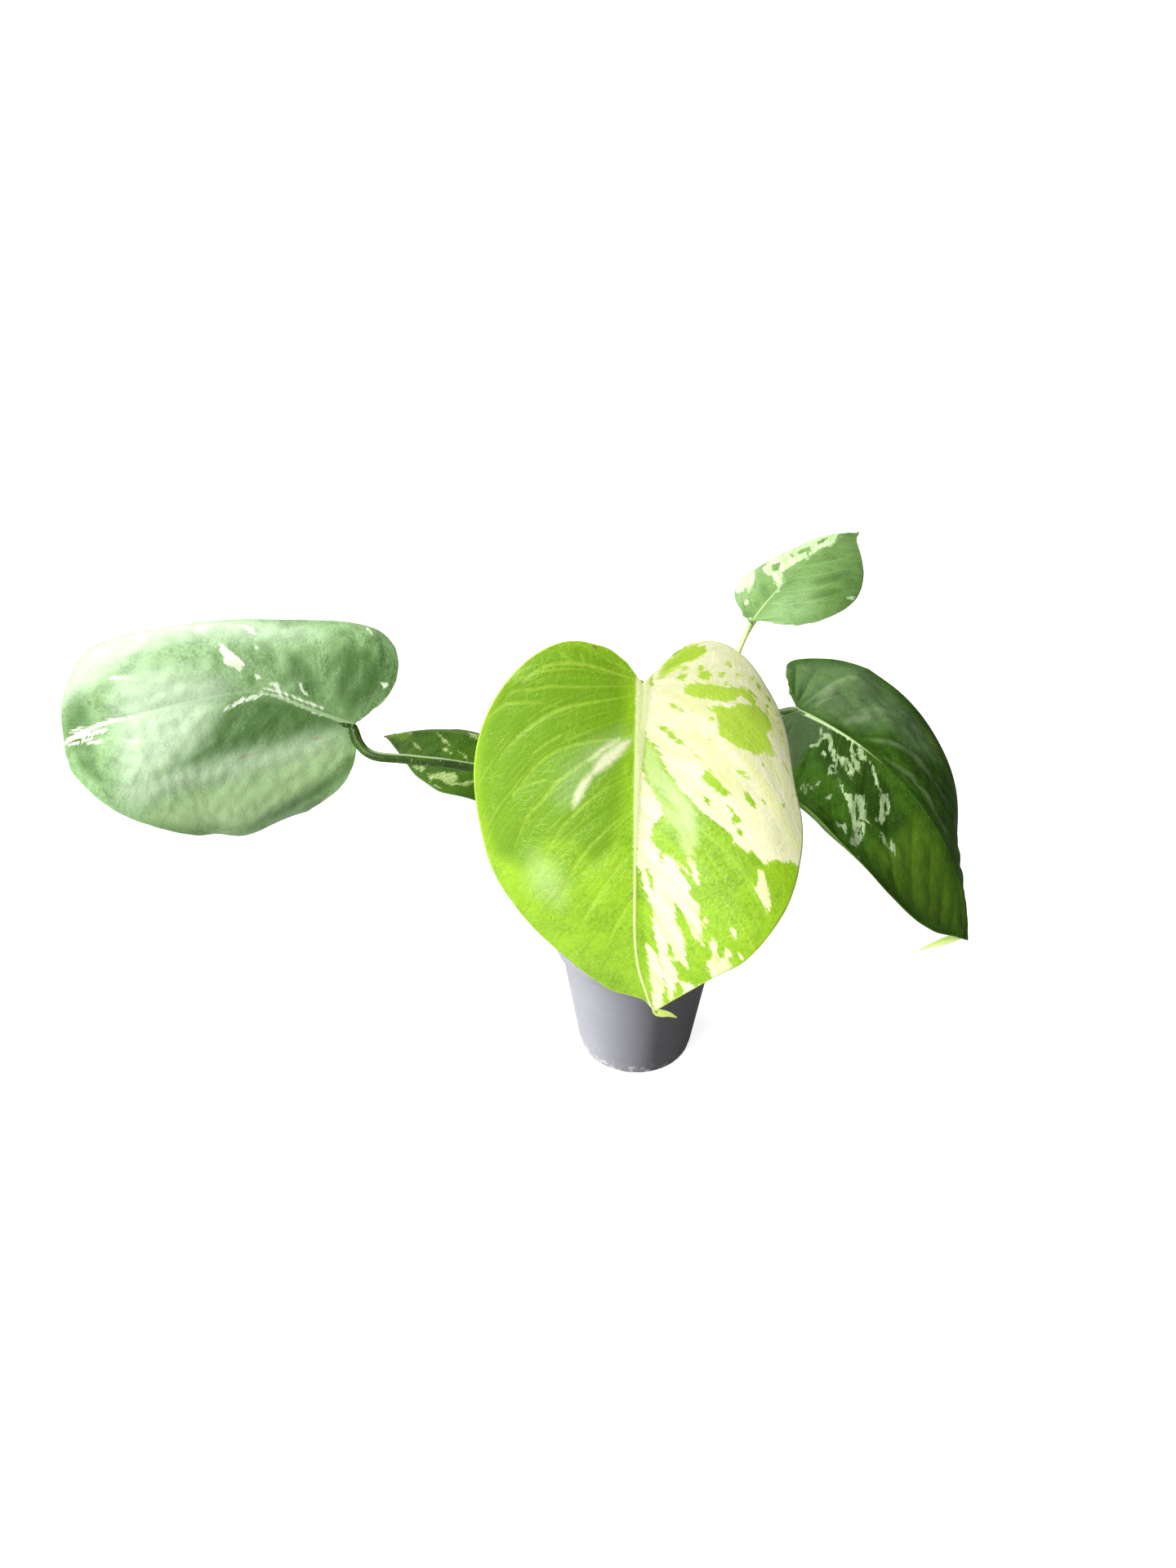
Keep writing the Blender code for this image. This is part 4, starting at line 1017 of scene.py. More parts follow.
MARKS["back"] = [
    ("cream", AREA, [(933, 697), (946, 682), (966, 671), (988, 660), (1008, 648), (1027, 648), (1022, 664),
        (1016, 670), (1012, 668), (1001, 674), (993, 680), (988, 680), (989, 685), (972, 692), (958, 701),
        (954, 704), (958, 713), (953, 722), (949, 713), (946, 705), (938, 702)]),
    ("cream", AREA, [(899, 725), (902, 712), (911, 702), (922, 696), (925, 708), (920, 719), (917, 725),
        (914, 718), (909, 724), (904, 727)]),
    ("cream", 5, [(913, 735), (915, 740)]),
    ("green", AREA, [(943, 692), (957, 688), (952, 699), (947, 701)]),
    ("green", AREA, [(976, 675), (992, 669), (994, 674), (989, 681), (987, 676), (977, 680)]),
    ("green", AREA, [(1000, 663), (1015, 657), (1009, 664), (1001, 668)]),
    ("green", AREA, [(955, 703), (988, 682), (989, 688), (970, 702), (959, 710)]),
    ("green", AREA, [(992, 682), (1012, 667), (1001, 678)]),
    ("green", 4, [(930, 704), (940, 714), (947, 728)]), ("green", 3, [(966, 677), (974, 684)]),
    ("green", 3, [(1014, 652), (1022, 655)]), ("cream", 4, [(958, 700), (955, 712), (953, 724)]),
    # painted shade and a whitish painted sheen, with a cream fleck and drawn veins among them
    ("shade", 10, [(905, 746), (914, 752), (921, 757)]), ("shade", 12, [(932, 716), (938, 726), (940, 738)]),
    ("cream", 3, [(1038, 732), (1048, 733)]),
    ("painted_sheen", AREA, [(936, 756), (950, 738), (985, 716), (1000, 735), (990, 758), (960, 764)]),
    ("vein", 2.4, [(958, 712), (984, 708), (1010, 703), (1038, 696)]),
    ("vein", 2.2, [(948, 726), (974, 725), (1002, 720), (1034, 710)]),
    ("vein", 2.2, [(938, 740), (964, 741), (994, 737), (1026, 727)]),
    ("vein", 2.2, [(976, 698), (1000, 693), (1024, 686), (1044, 680)]),
    ("shade", 8, [(1026, 656), (1040, 655), (1050, 655)]),
    ("shade", 12, [(994, 715), (1016, 709), (1036, 702)]),
    ("shade", 10, [(990, 732), (1012, 728), (1030, 722)]),
]
MARKS["small"] = [
    ("cream", 3.5, [(536, 897), (543, 906), (551, 913)]), ("cream", 2.5, [(562, 920), (572, 929)]),
    ("cream", 3, [(540, 916), (553, 922)]), ("cream", 3, [(506, 910), (515, 917)]),
    ("cream", AREA, [(573, 894), (586, 895), (584, 904), (576, 903)]),
    ("cream", AREA, [(505, 938), (522, 939), (517, 944), (509, 942)]),
    ("cream", AREA, [(524, 948), (557, 946), (560, 953), (554, 962), (546, 960), (540, 954), (531, 953),
        (526, 957)]),
    ("cream", 5, [(554, 960), (568, 961), (580, 955)]), ("cream", 3, [(530, 961), (540, 965)]),
    ("cream", 4, [(499, 897), (505, 900)]), ("pale", 12, [(474, 900), (490, 901), (504, 903)]),
    ("scar", 6, [(460, 899), (480, 901)]),
]
print("markings:", {name: len(rows) for name, rows in MARKS.items()})

# %% [markdown]
# ## Leaf skin
#
# All five leaves share one skin: green with paler lines over the veins, cream where a marking lies, with
# edges that tear along the veins, a pale ridge for the midrib and a thin pale margin. Painted highlights,
# a whitish painted sheen that is also rougher, painted shade and painted light lie where the markings put
# them. The group puts out colour, roughness and a height for the bump, and each leaf's material feeds it
# its own greens, so the leaves differ as they do in the photograph, from lime to nearly black.

# %% The skin that all leaves share
SKIN_COLORS = ("green", "deep", "vein", "rib", "cream", "shade", "pale")  # shade is the darker cream
# three of these amounts weigh the whitish painted sheen, the painted highlights and the painted light
SKIN_AMOUNTS = ("tear", "web", "veining", "drawn", "specks", "painted_sheen", "painted_highlight", "painted_light", "fade", "shine")
TEAR = (6.0, 75.0, 1.0)  # how fast torn edges change along and across the veins
THIN_TEAR = (11.0, 60.0, 1.0)  # the same for the thin skin around the cream
STREAKS = (3.0, 26.0, 1.0)  # the same for the streaks of the green
FADING = (5.0, 60.0, 1.0)  # the same for the places where the fine veins fade
VEIN_LINE = 0.05  # half width of a main vein's line, as a share of the vein spacing
FINE_LINE = 0.28  # the same for a fine vein
FINE_VEINS = 6  # fine veins between two main ones
HOLES, MESH, PORES, SPECKS, DUST = 42.0, 26.0, 150.0, 70.0, 30.0  # cells to a tenth of a metre
SCAR_BROWN = tint(140, 98, 66)
# whitish colour of the painted sheen
PAINTED_SHEEN_WHITE = tint(206, 236, 200)

skin, board, into, out = new_effect(
    "leaf skin", {**dict.fromkeys(SKIN_COLORS, "Color"), **dict.fromkeys(SKIN_AMOUNTS, "Float")},
    {"Color": "Color", "Roughness": "Float", "Height": "Float"})
add, less, times, inverse = board.add, board.less, board.times, board.inverse
flat, veins = board.stored("flat", "Vector"), board.stored("veins", "Vector")
depth = {name: board.stored(name) for name in (*SKIN_KINDS, "rib", "margin")}
share = add(board.part(veins, "Y"), times(board.noise(flat, 2.2, 1.0), 0.035))


def around(value):
    """Noise as it swings about zero."""
    return less(value, 0.5)


def lines(count, width):
    """A mask of lines along the side veins, this many for each length of the midrib."""
    phase = board.math("FRACT", add(times(share, count), 0.5))
    return inverse(board.step(board.math("ABSOLUTE", around(phase)), width * 0.3, width))


def patch(kind, unevenness, low, high):
    """Where a kind of skin lies, with an uneven edge."""
    return board.step(add(depth[kind], unevenness), low, high)


along_veins = around(board.noise(board.stretch(veins, TEAR), 1.0, 5.0, 0.7))
any_way = around(board.noise(flat, 34.0, 4.0, 0.6))
torn = times(add(times(along_veins, 9.0), times(any_way, 4.0)), into["tear"])
thin_torn = times(around(board.noise(board.stretch(veins, THIN_TEAR), 1.0, 4.0, 0.7)), 6.0)
thin_torn = add(torn, times(thin_torn, into["tear"]))
web = times(board.step(board.cells(flat, HOLES), 0.5, 0.2), into["web"])
is_cream = times(patch("cream", torn, -0.15, 0.2), inverse(web))
is_thin = board.step(add(depth["cream"], thin_torn, 0.5), -0.15, 0.4)
is_pale = patch("pale", torn, -2.5, 2.5)
is_scar = patch("scar", times(torn, 0.4), -0.3, 0.3)
is_vein = times(board.step(depth["vein"], -0.7, 0.6), board.step(any_way, -0.35, 0.1))
# a painted highlight along creases, lightened towards the cream
is_painted_highlight = patch("painted_highlight", times(any_way, 3.0), -2.5, 2.0)
# a whitish painted sheen with soft edges
is_painted_sheen = patch("painted_sheen", times(any_way, 5.0), -12.0, 9.0)
# painted shade, where a blade is darker
is_painted_shade = patch("shade", times(any_way, 3.0), -7.0, 5.0)
# painted light: a lighter green where a blade is lit or shone through
is_painted_light = times(patch("painted_light", times(any_way, 5.0), -7.0, 7.0), into["painted_light"])
is_rib = inverse(board.step(depth["rib"], 0.7, 1.1))
rib_left = inverse(times(board.step(share, 0.18, 0.42), into["fade"]))
is_margin = inverse(board.step(depth["margin"], 0.3, 0.9))

main_lines = times(lines(VEINS, VEIN_LINE), board.step(board.noise(flat, 3.0, 2.0), 0.35, 0.65))
fading = board.noise(board.stretch(veins, FADING), 1.0, 2.0)
fine_lines = times(lines(VEINS * FINE_VEINS, FINE_LINE), board.step(fading, 0.4, 0.8))
mesh = board.cells(board.stretch(flat, (1.0, 1.3, 1.0)), MESH, "DISTANCE_TO_EDGE")
mesh = times(inverse(board.step(mesh, 0.0, 0.09)), board.step(board.noise(flat, 6.0, 2.0), 0.45, 0.6))
pores = inverse(board.step(board.cells(flat, PORES, "DISTANCE_TO_EDGE"), 0.0, 0.2))
specks = inverse(board.step(board.cells(flat, SPECKS), 0.08, 0.17))
specks = times(specks, board.step(board.noise(flat, 9.0, 2.0), 0.5, 0.62))
dust = inverse(board.step(board.cells(flat, DUST), 0.05, 0.1))
clouds = board.noise(flat, 3.6, 5.0, 0.65)
streaks = board.noise(board.stretch(veins, STREAKS), 1.0, 2.5, 0.55)
mottle = board.noise(flat, 60.0, 3.0, 0.7)

deepness = add(times(clouds, 0.9), times(streaks, 0.3), times(mottle, 0.6), times(any_way, 0.3))
# painted shade pulls the green towards the deep green
deepness = board.math("MAXIMUM", board.step(deepness, 0.72, 1.25), times(is_painted_shade, 0.85))
lining = board.math("MAXIMUM", times(main_lines, 0.55), times(fine_lines, 0.4))
lining = times(board.math("MAXIMUM", lining, times(mesh, 0.4)), into["veining"])
cream = board.mix(board.step(streaks, 0.35, 0.75), into["cream"], into["shade"])
cream = board.mix(times(fine_lines, 0.3), cream, into["shade"])
cream = board.mix(times(dust, 0.5), cream, into["green"])
color = board.mix(deepness, into["green"], into["deep"])
for amount, layer in (  # from the lowest layer to the topmost
        # painted light, under everything else
        (is_painted_light, into["vein"]),
        (board.math("MAXIMUM", lining, times(is_vein, into["drawn"])), into["vein"]),
        (times(pores, 0.07), into["vein"]),
        (times(is_pale, 0.8), into["pale"]),
        (times(specks, into["specks"]), into["cream"]),
        (times(times(is_thin, inverse(web)), 0.5), into["shade"]),
        (is_cream, cream),
        (times(is_margin, 0.6), into["vein"]),
        (times(times(is_rib, rib_left), 0.92), into["rib"]),
        (times(is_scar, 0.85), SCAR_BROWN),
        # the whitish painted sheen
        (times(is_painted_sheen, into["painted_sheen"]), board.mix(0.6, into["cream"], PAINTED_SHEEN_WHITE)),
        # painted highlights, over everything else
        (times(is_painted_highlight, into["painted_highlight"]), into["cream"])):
    color = board.mix(amount, color, layer)

# the painted sheen is also rougher
rough = add(into["shine"], times(around(streaks), 0.12), times(around(mottle), 0.2), times(is_scar, 0.3),
            times(is_painted_sheen, 0.1))
height = times(less(streaks, fine_lines), into["veining"])
for sunk in (times(pores, 0.12), times(board.math("MAXIMUM", mesh, is_vein), 0.5), times(is_scar, 0.6)):
    height = less(height, sunk)
height = add(height, add(times(mottle, 0.3), times(any_way, 2.2)))
board.feed(out, {"Color": color, "Roughness": rough, "Height": height})
print("leaf skin has", len(skin.nodes), "nodes")

# %% [markdown]
# ## Each leaf's own colours
#
# The front leaf is lime and cream, the one on the left gray-green with a whitish painted sheen, the one on
# the right dark and dull, the one behind mid green, and the small one dark olive. The underside of every
# leaf is the same green but paler, without specks, painted sheen or painted highlights, and with veins
# that stand out more.

# %% Colours and materials of the leaves
# each look also weighs its painted sheen, painted highlights and painted light
LEAF_COLORS = {
    "front": dict(
        green=(160, 210, 36), deep=(108, 156, 16), vein=(202, 236, 86), rib=(236, 246, 176),
        cream=(252, 254, 208), shade=(240, 246, 168), pale=(208, 236, 144), tear=1.0, web=0.0,
        veining=0.5, drawn=0.42, specks=0.6, painted_sheen=0.25, painted_highlight=0.9, painted_light=0.7, fade=0.0, shine=0.38,
        coat=0.1, gloss=0.5, grain=0.35),
    "left": dict(
        green=(136, 172, 116), deep=(58, 98, 32), vein=(180, 212, 154), rib=(160, 192, 136),
        cream=(236, 244, 224), shade=(206, 224, 186), pale=(190, 210, 160), tear=0.7, web=0.0,
        veining=0.2, drawn=0.4, specks=0.9, painted_sheen=0.45, painted_highlight=0.3, painted_light=0.7, fade=0.8, shine=0.48,
        coat=0.05, gloss=0.4, grain=0.4),
    "right": dict(
        green=(58, 94, 24), deep=(26, 50, 10), vein=(102, 136, 40), rib=(178, 204, 140),
        cream=(168, 188, 144), shade=(84, 108, 62), pale=(72, 90, 60), tear=0.9, web=0.25,
        veining=0.3, drawn=0.4, specks=0.7, painted_sheen=0.12, painted_highlight=0.18, painted_light=0.45, fade=1.0, shine=0.7,
        coat=0.0, gloss=0.1, grain=0.4),
    "back": dict(
        green=(108, 146, 74), deep=(62, 98, 34), vein=(162, 194, 126), rib=(178, 208, 138),
        cream=(194, 220, 170), shade=(160, 196, 128), pale=(190, 214, 150), tear=1.1, web=0.0,
        veining=0.5, drawn=0.35, specks=0.5, painted_sheen=0.1, painted_highlight=0.3, painted_light=0.3, fade=0.8, shine=0.42,
        coat=0.1, gloss=0.4, grain=0.4),
    "small": dict(
        green=(68, 104, 18), deep=(34, 62, 6), vein=(110, 144, 56), rib=(90, 124, 40),
        cream=(172, 192, 124), shade=(124, 148, 80), pale=(104, 138, 30), tear=1.0, web=0.4,
        veining=0.4, drawn=0.4, specks=0.5, painted_sheen=0.2, painted_highlight=0.2, painted_light=0.3, fade=0.5, shine=0.55,
        coat=0.0, gloss=0.2, grain=0.4),
}
# the underside has no specks, painted sheen or painted highlights
UNDERSIDE = dict(specks=0.0, painted_sheen=0.0, painted_highlight=0.0, shine=0.55, coat=0.0, grain=0.6)
UNDERSIDE_GREEN = (150, 180, 112)
UNDERSIDE_PALE = 0.45  # share of that gray-green that the underside takes on
FLESH = {"Subsurface Weight": 0.12, "Subsurface Radius": (1.0, 1.3, 0.4), "Subsurface Scale": 0.002}
SKIN_BUMP = 0.0006  # depth in metres of the finest relief


def under(look):
    """The look of a leaf's underside."""
    pale = {key: [(1 - UNDERSIDE_PALE) * own + UNDERSIDE_PALE * gray
                  for own, gray in zip(look[key], UNDERSIDE_GREEN)] for key in SKIN_COLORS}
    return {**look, **pale, **UNDERSIDE}


def leaf_material(name, look):
    """One side of a leaf's blade."""
    material, board, shader = new_material(name, {
        **FLESH, "Coat Weight": look["coat"], "Coat Roughness": 0.18, "Specular IOR Level": look["gloss"]})
    values = {key: tint(*look[key]) for key in SKIN_COLORS}
    values.update((key, look[key]) for key in SKIN_AMOUNTS)
    made = board.put("Group", values, node_tree=skin).outputs
    bump = board.bump(made["Height"], look["grain"], SKIN_BUMP)
    board.feed(shader, {"Base Color": made["Color"], "Roughness": made["Roughness"], "Normal": bump})
    return material


leaf_materials = {
    name: [leaf_material("leaf " + name, look), leaf_material("leaf underside " + name, under(look))]
    for name, look in LEAF_COLORS.items()}
print("leaf materials:", len(bpy.data.materials))

# %% [markdown]
# ## Blades
#
# A blade is a fine grid laid over the flat heart and bent. Its upper skin is pushed along its own normal by
# the relief, the fields of the markings are stored on its points for the material to read, and a Solidify
# modifier grows the thickness downward: half a millimetre at the edge, three at the base of the midrib, and
# low ribs under the main side veins.

# %% The five blades
EDGE_THICKNESS = 0.5
RIB_DEPTH = 3.2  # the blade's thickness over the midrib at the base
RIB_TAPER = 0.75  # share of it that is gone at the tip
RIB_KEEL = 2.0  # half width of the keel under the midrib
VEIN_KEEL = (0.7, 1.1)  # depth and half width of the ribs under the side veins
VEIN_KEEL_ENDS = (0.3, 0.95)  # shares of the way to the edge between which they run out
VEIN_GROOVE = 0.2  # depth of the groove over a vein that is drawn
VEIN_GROOVE_EDGE = (-2.0, 1.0)  # depths in the vein's streak between which the groove falls
GLEAM_RIDGE = 0.25  # height of the low crease under a painted highlight
GLEAM_RIDGE_EDGE = (-2.5, 2.5)
FLAT_UNIT = 100  # millimetres to one unit of the flat place that the material reads


def blade_depth(leaf, across, along, t):
    """Thickness of the blade at places on it."""
    start, out = vein_share(leaf, across, along)
    share = np.clip(along / leaf["length"], 0, 1)
    keel = (RIB_DEPTH * (1 - RIB_TAPER * share**2) - EDGE_THICKNESS) * np.exp(-((out / RIB_KEEL) ** 4))
    vein = VEIN_KEEL[0] * size_of(leaf) * np.exp(-((from_vein(leaf, start) / VEIN_KEEL[1]) ** 2))
    vein = vein * (1 - rise(np.abs(t), *VEIN_KEEL_ENDS))
    return EDGE_THICKNESS + np.maximum(keel, vein)


def make_blade(name, leaf):
    bm = bmesh.new()
    bmesh.ops.create_grid(bm, x_segments=2 * leaf["columns"], y_segments=leaf["rows"], size=1)
    grid = np.array([vert.co for vert in bm.verts])
    s, t = (grid[:, 1] + 1) / 2, grid[:, 0]
    across, along = flat_blade(leaf, s, t)
    smooth = bent_blade(leaf, across, along)
    fields = paint_marks(leaf, MARKS[name], seen_at(smooth), (across, along))
    start, out = vein_share(leaf, across, along)
    fields["rib"] = out / rib_half_width(leaf, along)
    lift = relief(leaf, across, along, t) - VEIN_GROOVE * rise(fields["vein"], *VEIN_GROOVE_EDGE)
    lift += GLEAM_RIDGE * rise(fields["painted_highlight"], *GLEAM_RIDGE_EDGE)
    lifted = smooth + skin_normal(leaf, across, along) * lift[:, None]
    edge = flat_blade(leaf, s, np.where(t < 0, -1.0, 1.0))
    fields["margin"] = np.hypot(edge[0] - across, edge[1] - along)
    depth = blade_depth(leaf, across, along, t)
    layers = {key: bm.verts.layers.float.new(key) for key in fields}
    flat_layer = bm.verts.layers.float_vector.new("flat")
    vein_layer = bm.verts.layers.float_vector.new("veins")
    weights = bm.verts.layers.deform.verify()
    for i, vert in enumerate(bm.verts):
        vert.co = lifted[i] * MM
        vert[flat_layer] = (across[i] / FLAT_UNIT, along[i] / FLAT_UNIT, 0)
        vert[vein_layer] = (math.copysign(out[i], across[i]) / leaf["width"] * 2, start[i], 0)
        vert[weights][0] = depth[i] / RIB_DEPTH
        for key, layer in layers.items():
            vert[layer] = fields[key][i]
    bmesh.ops.remove_doubles(bm, verts=bm.verts, dist=WELD)
    blade = add_piece("leaf_" + name, bm, leaf_materials[name], ["blade_" + name])
    blade.vertex_groups.new(name="thickness")
    shell = add_shell(blade, RIB_DEPTH, -1)
    shell.vertex_group = "thickness"
    shell.material_offset = 1


for leaf_name, leaf in LEAVES.items():
    make_blade(leaf_name, leaf)

# %% [markdown]
# ## Drip tips
#
# A heart leaf ends in a thin drip tip, which dries, curls and turns aside, so it shows its pale underside.
# Each is a narrow strip with a groove along its middle, swept from the blade's tip along a line that was
# read from the photograph, at the depth where the blade ends.

# %% Turned drip tips
DRIP_TIPS = {  # pixels along its middle line, widths in pixels, how far it turns away, colour
    "front": ([(801, 1233), (804, 1239), (811, 1241), (819, 1242), (829, 1246)], [6, 9, 8, 5, 1], 4.0,
              (196, 220, 112)),
    "right": ([(1182, 1146), (1170, 1148), (1157, 1152), (1142, 1157), (1127, 1163)], [3, 9, 9, 5, 2], 10.0,
              (196, 222, 130)),
}
DRIP_GROOVE = 0.25  # depth of its groove as a share of its width
DRIP_BEHIND = 0.4  # how far behind the blade's tip it starts
DRIP_ACROSS, DRIP_ALONG = 6, 24
TIP_SHARE = 0.8  # share of the blade's outline from which its tip is looked for
TIP_GRID = (30, 30)


def toned(color, factor, more=0):
    """A colour made lighter or darker, as linear light for a shader."""
    return tint(*(min(255, value * factor + more) for value in color))


def make_drip_tip(name, leaf, pixels, widths, away, color):
    shares = np.linspace(0, 1, DRIP_ALONG + 1)
    line = smooth_line(pixels, shares)
    width = np.interp(shares, np.linspace(0, 1, len(widths)), widths)
    seen, far = samples(leaf, TIP_SHARE, *TIP_GRID)[1]
    root = far[np.linalg.norm(seen - np.array(pixels[0]), axis=1).argmin()]
    way = np.gradient(line, axis=0)
    side = np.stack([-way[:, 1], way[:, 0]], -1) / np.linalg.norm(way, axis=1, keepdims=True)
    bm = bmesh.new()
    bmesh.ops.create_grid(bm, x_segments=DRIP_ACROSS, y_segments=DRIP_ALONG, size=1)
    flat = np.array([vert.co for vert in bm.verts])
    at = np.round((flat[:, 1] + 1) / 2 * DRIP_ALONG).astype(int)
    spots = line[at] + side[at] * (flat[:, :1] * width[at, None] / 2)
    groove = DRIP_GROOVE * width[at] * PIXEL * (1 - np.abs(flat[:, 0]))
    places = in_space(spots, root + DRIP_BEHIND + away * shares[at] ** 2 + groove)
    for vert, place in zip(bm.verts, places):
        vert.co = place * MM
    material, board, shader = new_material("drip tip " + name, {"Roughness": 0.45, **FLESH})
    grain = board.noise(board.place(), 900.0, 3.0)
    board.feed(shader, {"Base Color": board.mix(grain, tint(*color), toned(color, 1.12, 12))})
    add_shell(add_piece("drip_tip_" + name, bm, [material]), EDGE_THICKNESS, 0)


for leaf_name, (pixels, widths, away, color) in DRIP_TIPS.items():
    make_drip_tip(leaf_name, LEAVES[leaf_name], pixels, widths, away, color)

# %% [markdown]
# ## Leaf stalks
#
# A stalk is a round fleshy rod. It leaves its sheath on the stem thick, thins within a quarter of its
# length, and swells again just under the blade, where a living leaf turns itself to the light. Past that
# joint it runs on beneath the blade as the midrib's keel. Rings of points are swept along its path and
# bridged.

# %% Stalks
STALKS = {  # points that each stalk passes, and its radii at the stem and at the blade
    "front": ([(-2, 6, 166), (-3, -3, 205), (-4, -19, 250), (-6, -44, 295), (-9, -70, 320), (-10, -88, 331)],
              (2.6, 2.0)),
    "left": ([(-12, 2, 150), (-26, -8, 182), (-50, -24, 218), (-78, -35, 243), (-110, -41, 256),
              (-140, -44, 262), (-159.5, -45, 265), (-168.5, -40, 270)], (2.8, 2.8)),
    "right": ([(13, 5, 140), (24, 7, 172), (40, 9, 210), (62, 9, 246), (80, 5, 264)], (2.5, 1.9)),
    "back": ([(9, 13, 128), (20, 32, 152), (38, 64, 186), (58, 100, 220), (75, 132, 250)], (2.3, 1.7)),
    "small": ([(-12, 9, 121), (-24, 18, 138), (-42, 33, 163), (-60, 43, 187)], (2.2, 1.6)),
}
STALK_SIDES = 20
STALK_RINGS = 110
STALK_THINS = (0.25, 0.2)  # share of its length at which it is down to its upper radius, but for this
STALK_KNEE = 4.0  # how far before the blade's base a stalk turns to it
STALK_UNDER = 1.1  # how far beneath the blade's skin its keel ends
STALK_SUNK = 0.8  # share of its radius that its line lies deeper at the base, less a millimetre
JOINT_SWELL = (0.35, 9.0)  # extra radius at the joint under the blade, and its length
KEEL_RUN = 14.0  # how far it runs on as the keel
KEEL_TAPER = 0.75  # share of the radius that is gone at the keel's end
STALK_WAVES = ((0.02, 7.0), (0.015, 2.9))  # share of the radius by which it wavers, and how slowly
STALK_HIGHLIGHT_FACING = (0.86, 0.99)  # how steeply a spot must face the sky to get the painted highlight on the upper side
STALK_HIGHLIGHT = 0.6  # how far the painted highlight lightens it
STALK_COLORS = {"front": (168, 200, 92), "left": (54, 84, 14), "right": (62, 86, 34),
                "back": (190, 224, 128), "small": (112, 136, 58)}


def sweep(bm, points, radii, sides):
    """A closed round rod along points in millimetres, from rings bridged one to the next."""
    ways = np.gradient(points, axis=0)
    before = None
    for i, (point, way, radius) in enumerate(zip(points, ways, radii)):
        turn = Vector(way).to_track_quat("Z", "Y").to_matrix().to_4x4()
        place = Matrix.Translation(Vector(point) * MM) @ turn
        is_end = i in (0, len(points) - 1)
        ring = bmesh.ops.create_circle(bm, cap_ends=is_end, segments=sides, radius=radius * MM, matrix=place)
        edges = list({edge for vert in ring["verts"] for edge in vert.link_edges})
        if before:
            bmesh.ops.bridge_loops(bm, edges=before + edges)
        before = edges


def stalk_material(name, color):
    """A green rind with a painted highlight on its upper side, fine lengthwise streaks and pale flecks."""
    material, board, shader = new_material(
        name, {**FLESH, "Coat Weight": 0.1, "Coat Roughness": 0.2, "Specular IOR Level": 0.3})
    place = board.place()
    grain = board.noise(board.stretch(place, (900.0, 900.0, 90.0)), 1.0, 4.0, 0.6)
    blotch = board.noise(place, 60.0, 3.0)
    light = board.step(board.add(grain, blotch), 0.75, 1.25)
    mixed = board.mix(light, toned(color, 0.78), toned(color, 1.16, 8))
    # a painted highlight along the stalk's sky-facing top
    upper = board.step(board.stored("upper"), *STALK_HIGHLIGHT_FACING)
    mixed = board.mix(board.times(upper, STALK_HIGHLIGHT), mixed, tint(206, 226, 176))
    fleck = board.cells(board.stretch(place, (1.0, 1.0, 0.4)), 420.0)
    fleck = board.inverse(board.step(fleck, 0.10, 0.2))
    mixed = board.mix(board.times(fleck, 0.35), mixed, tint(214, 222, 170))
    height = board.add(grain, board.times(fleck, 0.4))
    board.feed(shader, {"Base Color": mixed, "Roughness": board.add(0.45, board.times(grain, 0.15)),
                        "Normal": board.bump(height, 0.35, 0.0003)})
    return material


def stalk_route(leaf, points, radius):
    """The stalk's path up to the blade and on beneath the midrib. The front leaf hangs from its stalk's end,
    and the left stalk already comes in along its blade."""
    along = np.array([0.0, 0.35, 0.7, 1.0]) * KEEL_RUN
    line, tangents, normals = midrib(leaf, along / leaf["length"])
    under = STALK_UNDER + (STALK_SUNK * radius - 1) * (1 - along / KEEL_RUN)
    keel = np.array(leaf["base"]) + line - normals * under[:, None]
    if leaf is LEAVES["front"]:
        near = keel[0] - normals[0] * STALK_KNEE
        return np.vstack([points, near, keel[0]])
    if leaf is LEAVES["left"]:
        return np.vstack([points, keel])
    near = keel[0] - tangents[0] * STALK_KNEE
    return np.vstack([points, near, keel])


def make_stalk(name, leaf, points, radii):
    route = stalk_route(leaf, np.array(points, float), radii[1])
    shares = np.linspace(0, 1, STALK_RINGS)
    line = smooth_line(route, shares)
    run = np.concatenate([[0], np.cumsum(np.linalg.norm(np.diff(line, axis=0), axis=1))])
    foot, top = radii
    thick = np.interp(run / run[-1], [0, STALK_THINS[0], 1], [foot, top + STALK_THINS[1], top])
    joint = run[-1] - (0 if leaf is LEAVES["front"] else KEEL_RUN) - JOINT_SWELL[1] / 2
    thick = thick + JOINT_SWELL[0] * np.exp(-(((run - joint) / JOINT_SWELL[1]) ** 2))
    if leaf is not LEAVES["front"]:
        thick = thick * (1 - KEEL_TAPER * rise(run, run[-1] - KEEL_RUN, run[-1]))
    thick = thick * (1 + sum(high * np.sin(run / slow) for high, slow in STALK_WAVES))
    bm = bmesh.new()
    sweep(bm, line, thick, STALK_SIDES)
    bmesh.ops.recalc_face_normals(bm, faces=bm.faces)
    material = stalk_material("stalk " + name, STALK_COLORS[name])
    stalk = add_piece("stalk_" + name, bm, [material], ["petiole_" + name])
    # how far each point faces the sky, for the painted highlight
    upper = stalk.data.attributes.new("upper", "FLOAT", "POINT")
    upper.data.foreach_set("value", [vert.normal.z for vert in stalk.data.vertices])


for leaf_name, (points, radii) in STALKS.items():
    make_stalk(leaf_name, LEAVES[leaf_name], points, radii)

# %% [markdown]
# ## Stem
#
# The stem is short, ringed where leaves have stood and wrapped by the sheaths of the living stalks. Its rod
# and sheaths are swept as rods, melted into one skin by a voxel remesh and smoothed, as tissue that grew
# together is. Old rings are pressed in afterwards, and the material turns from green at the top to corky
# brown at the soil.

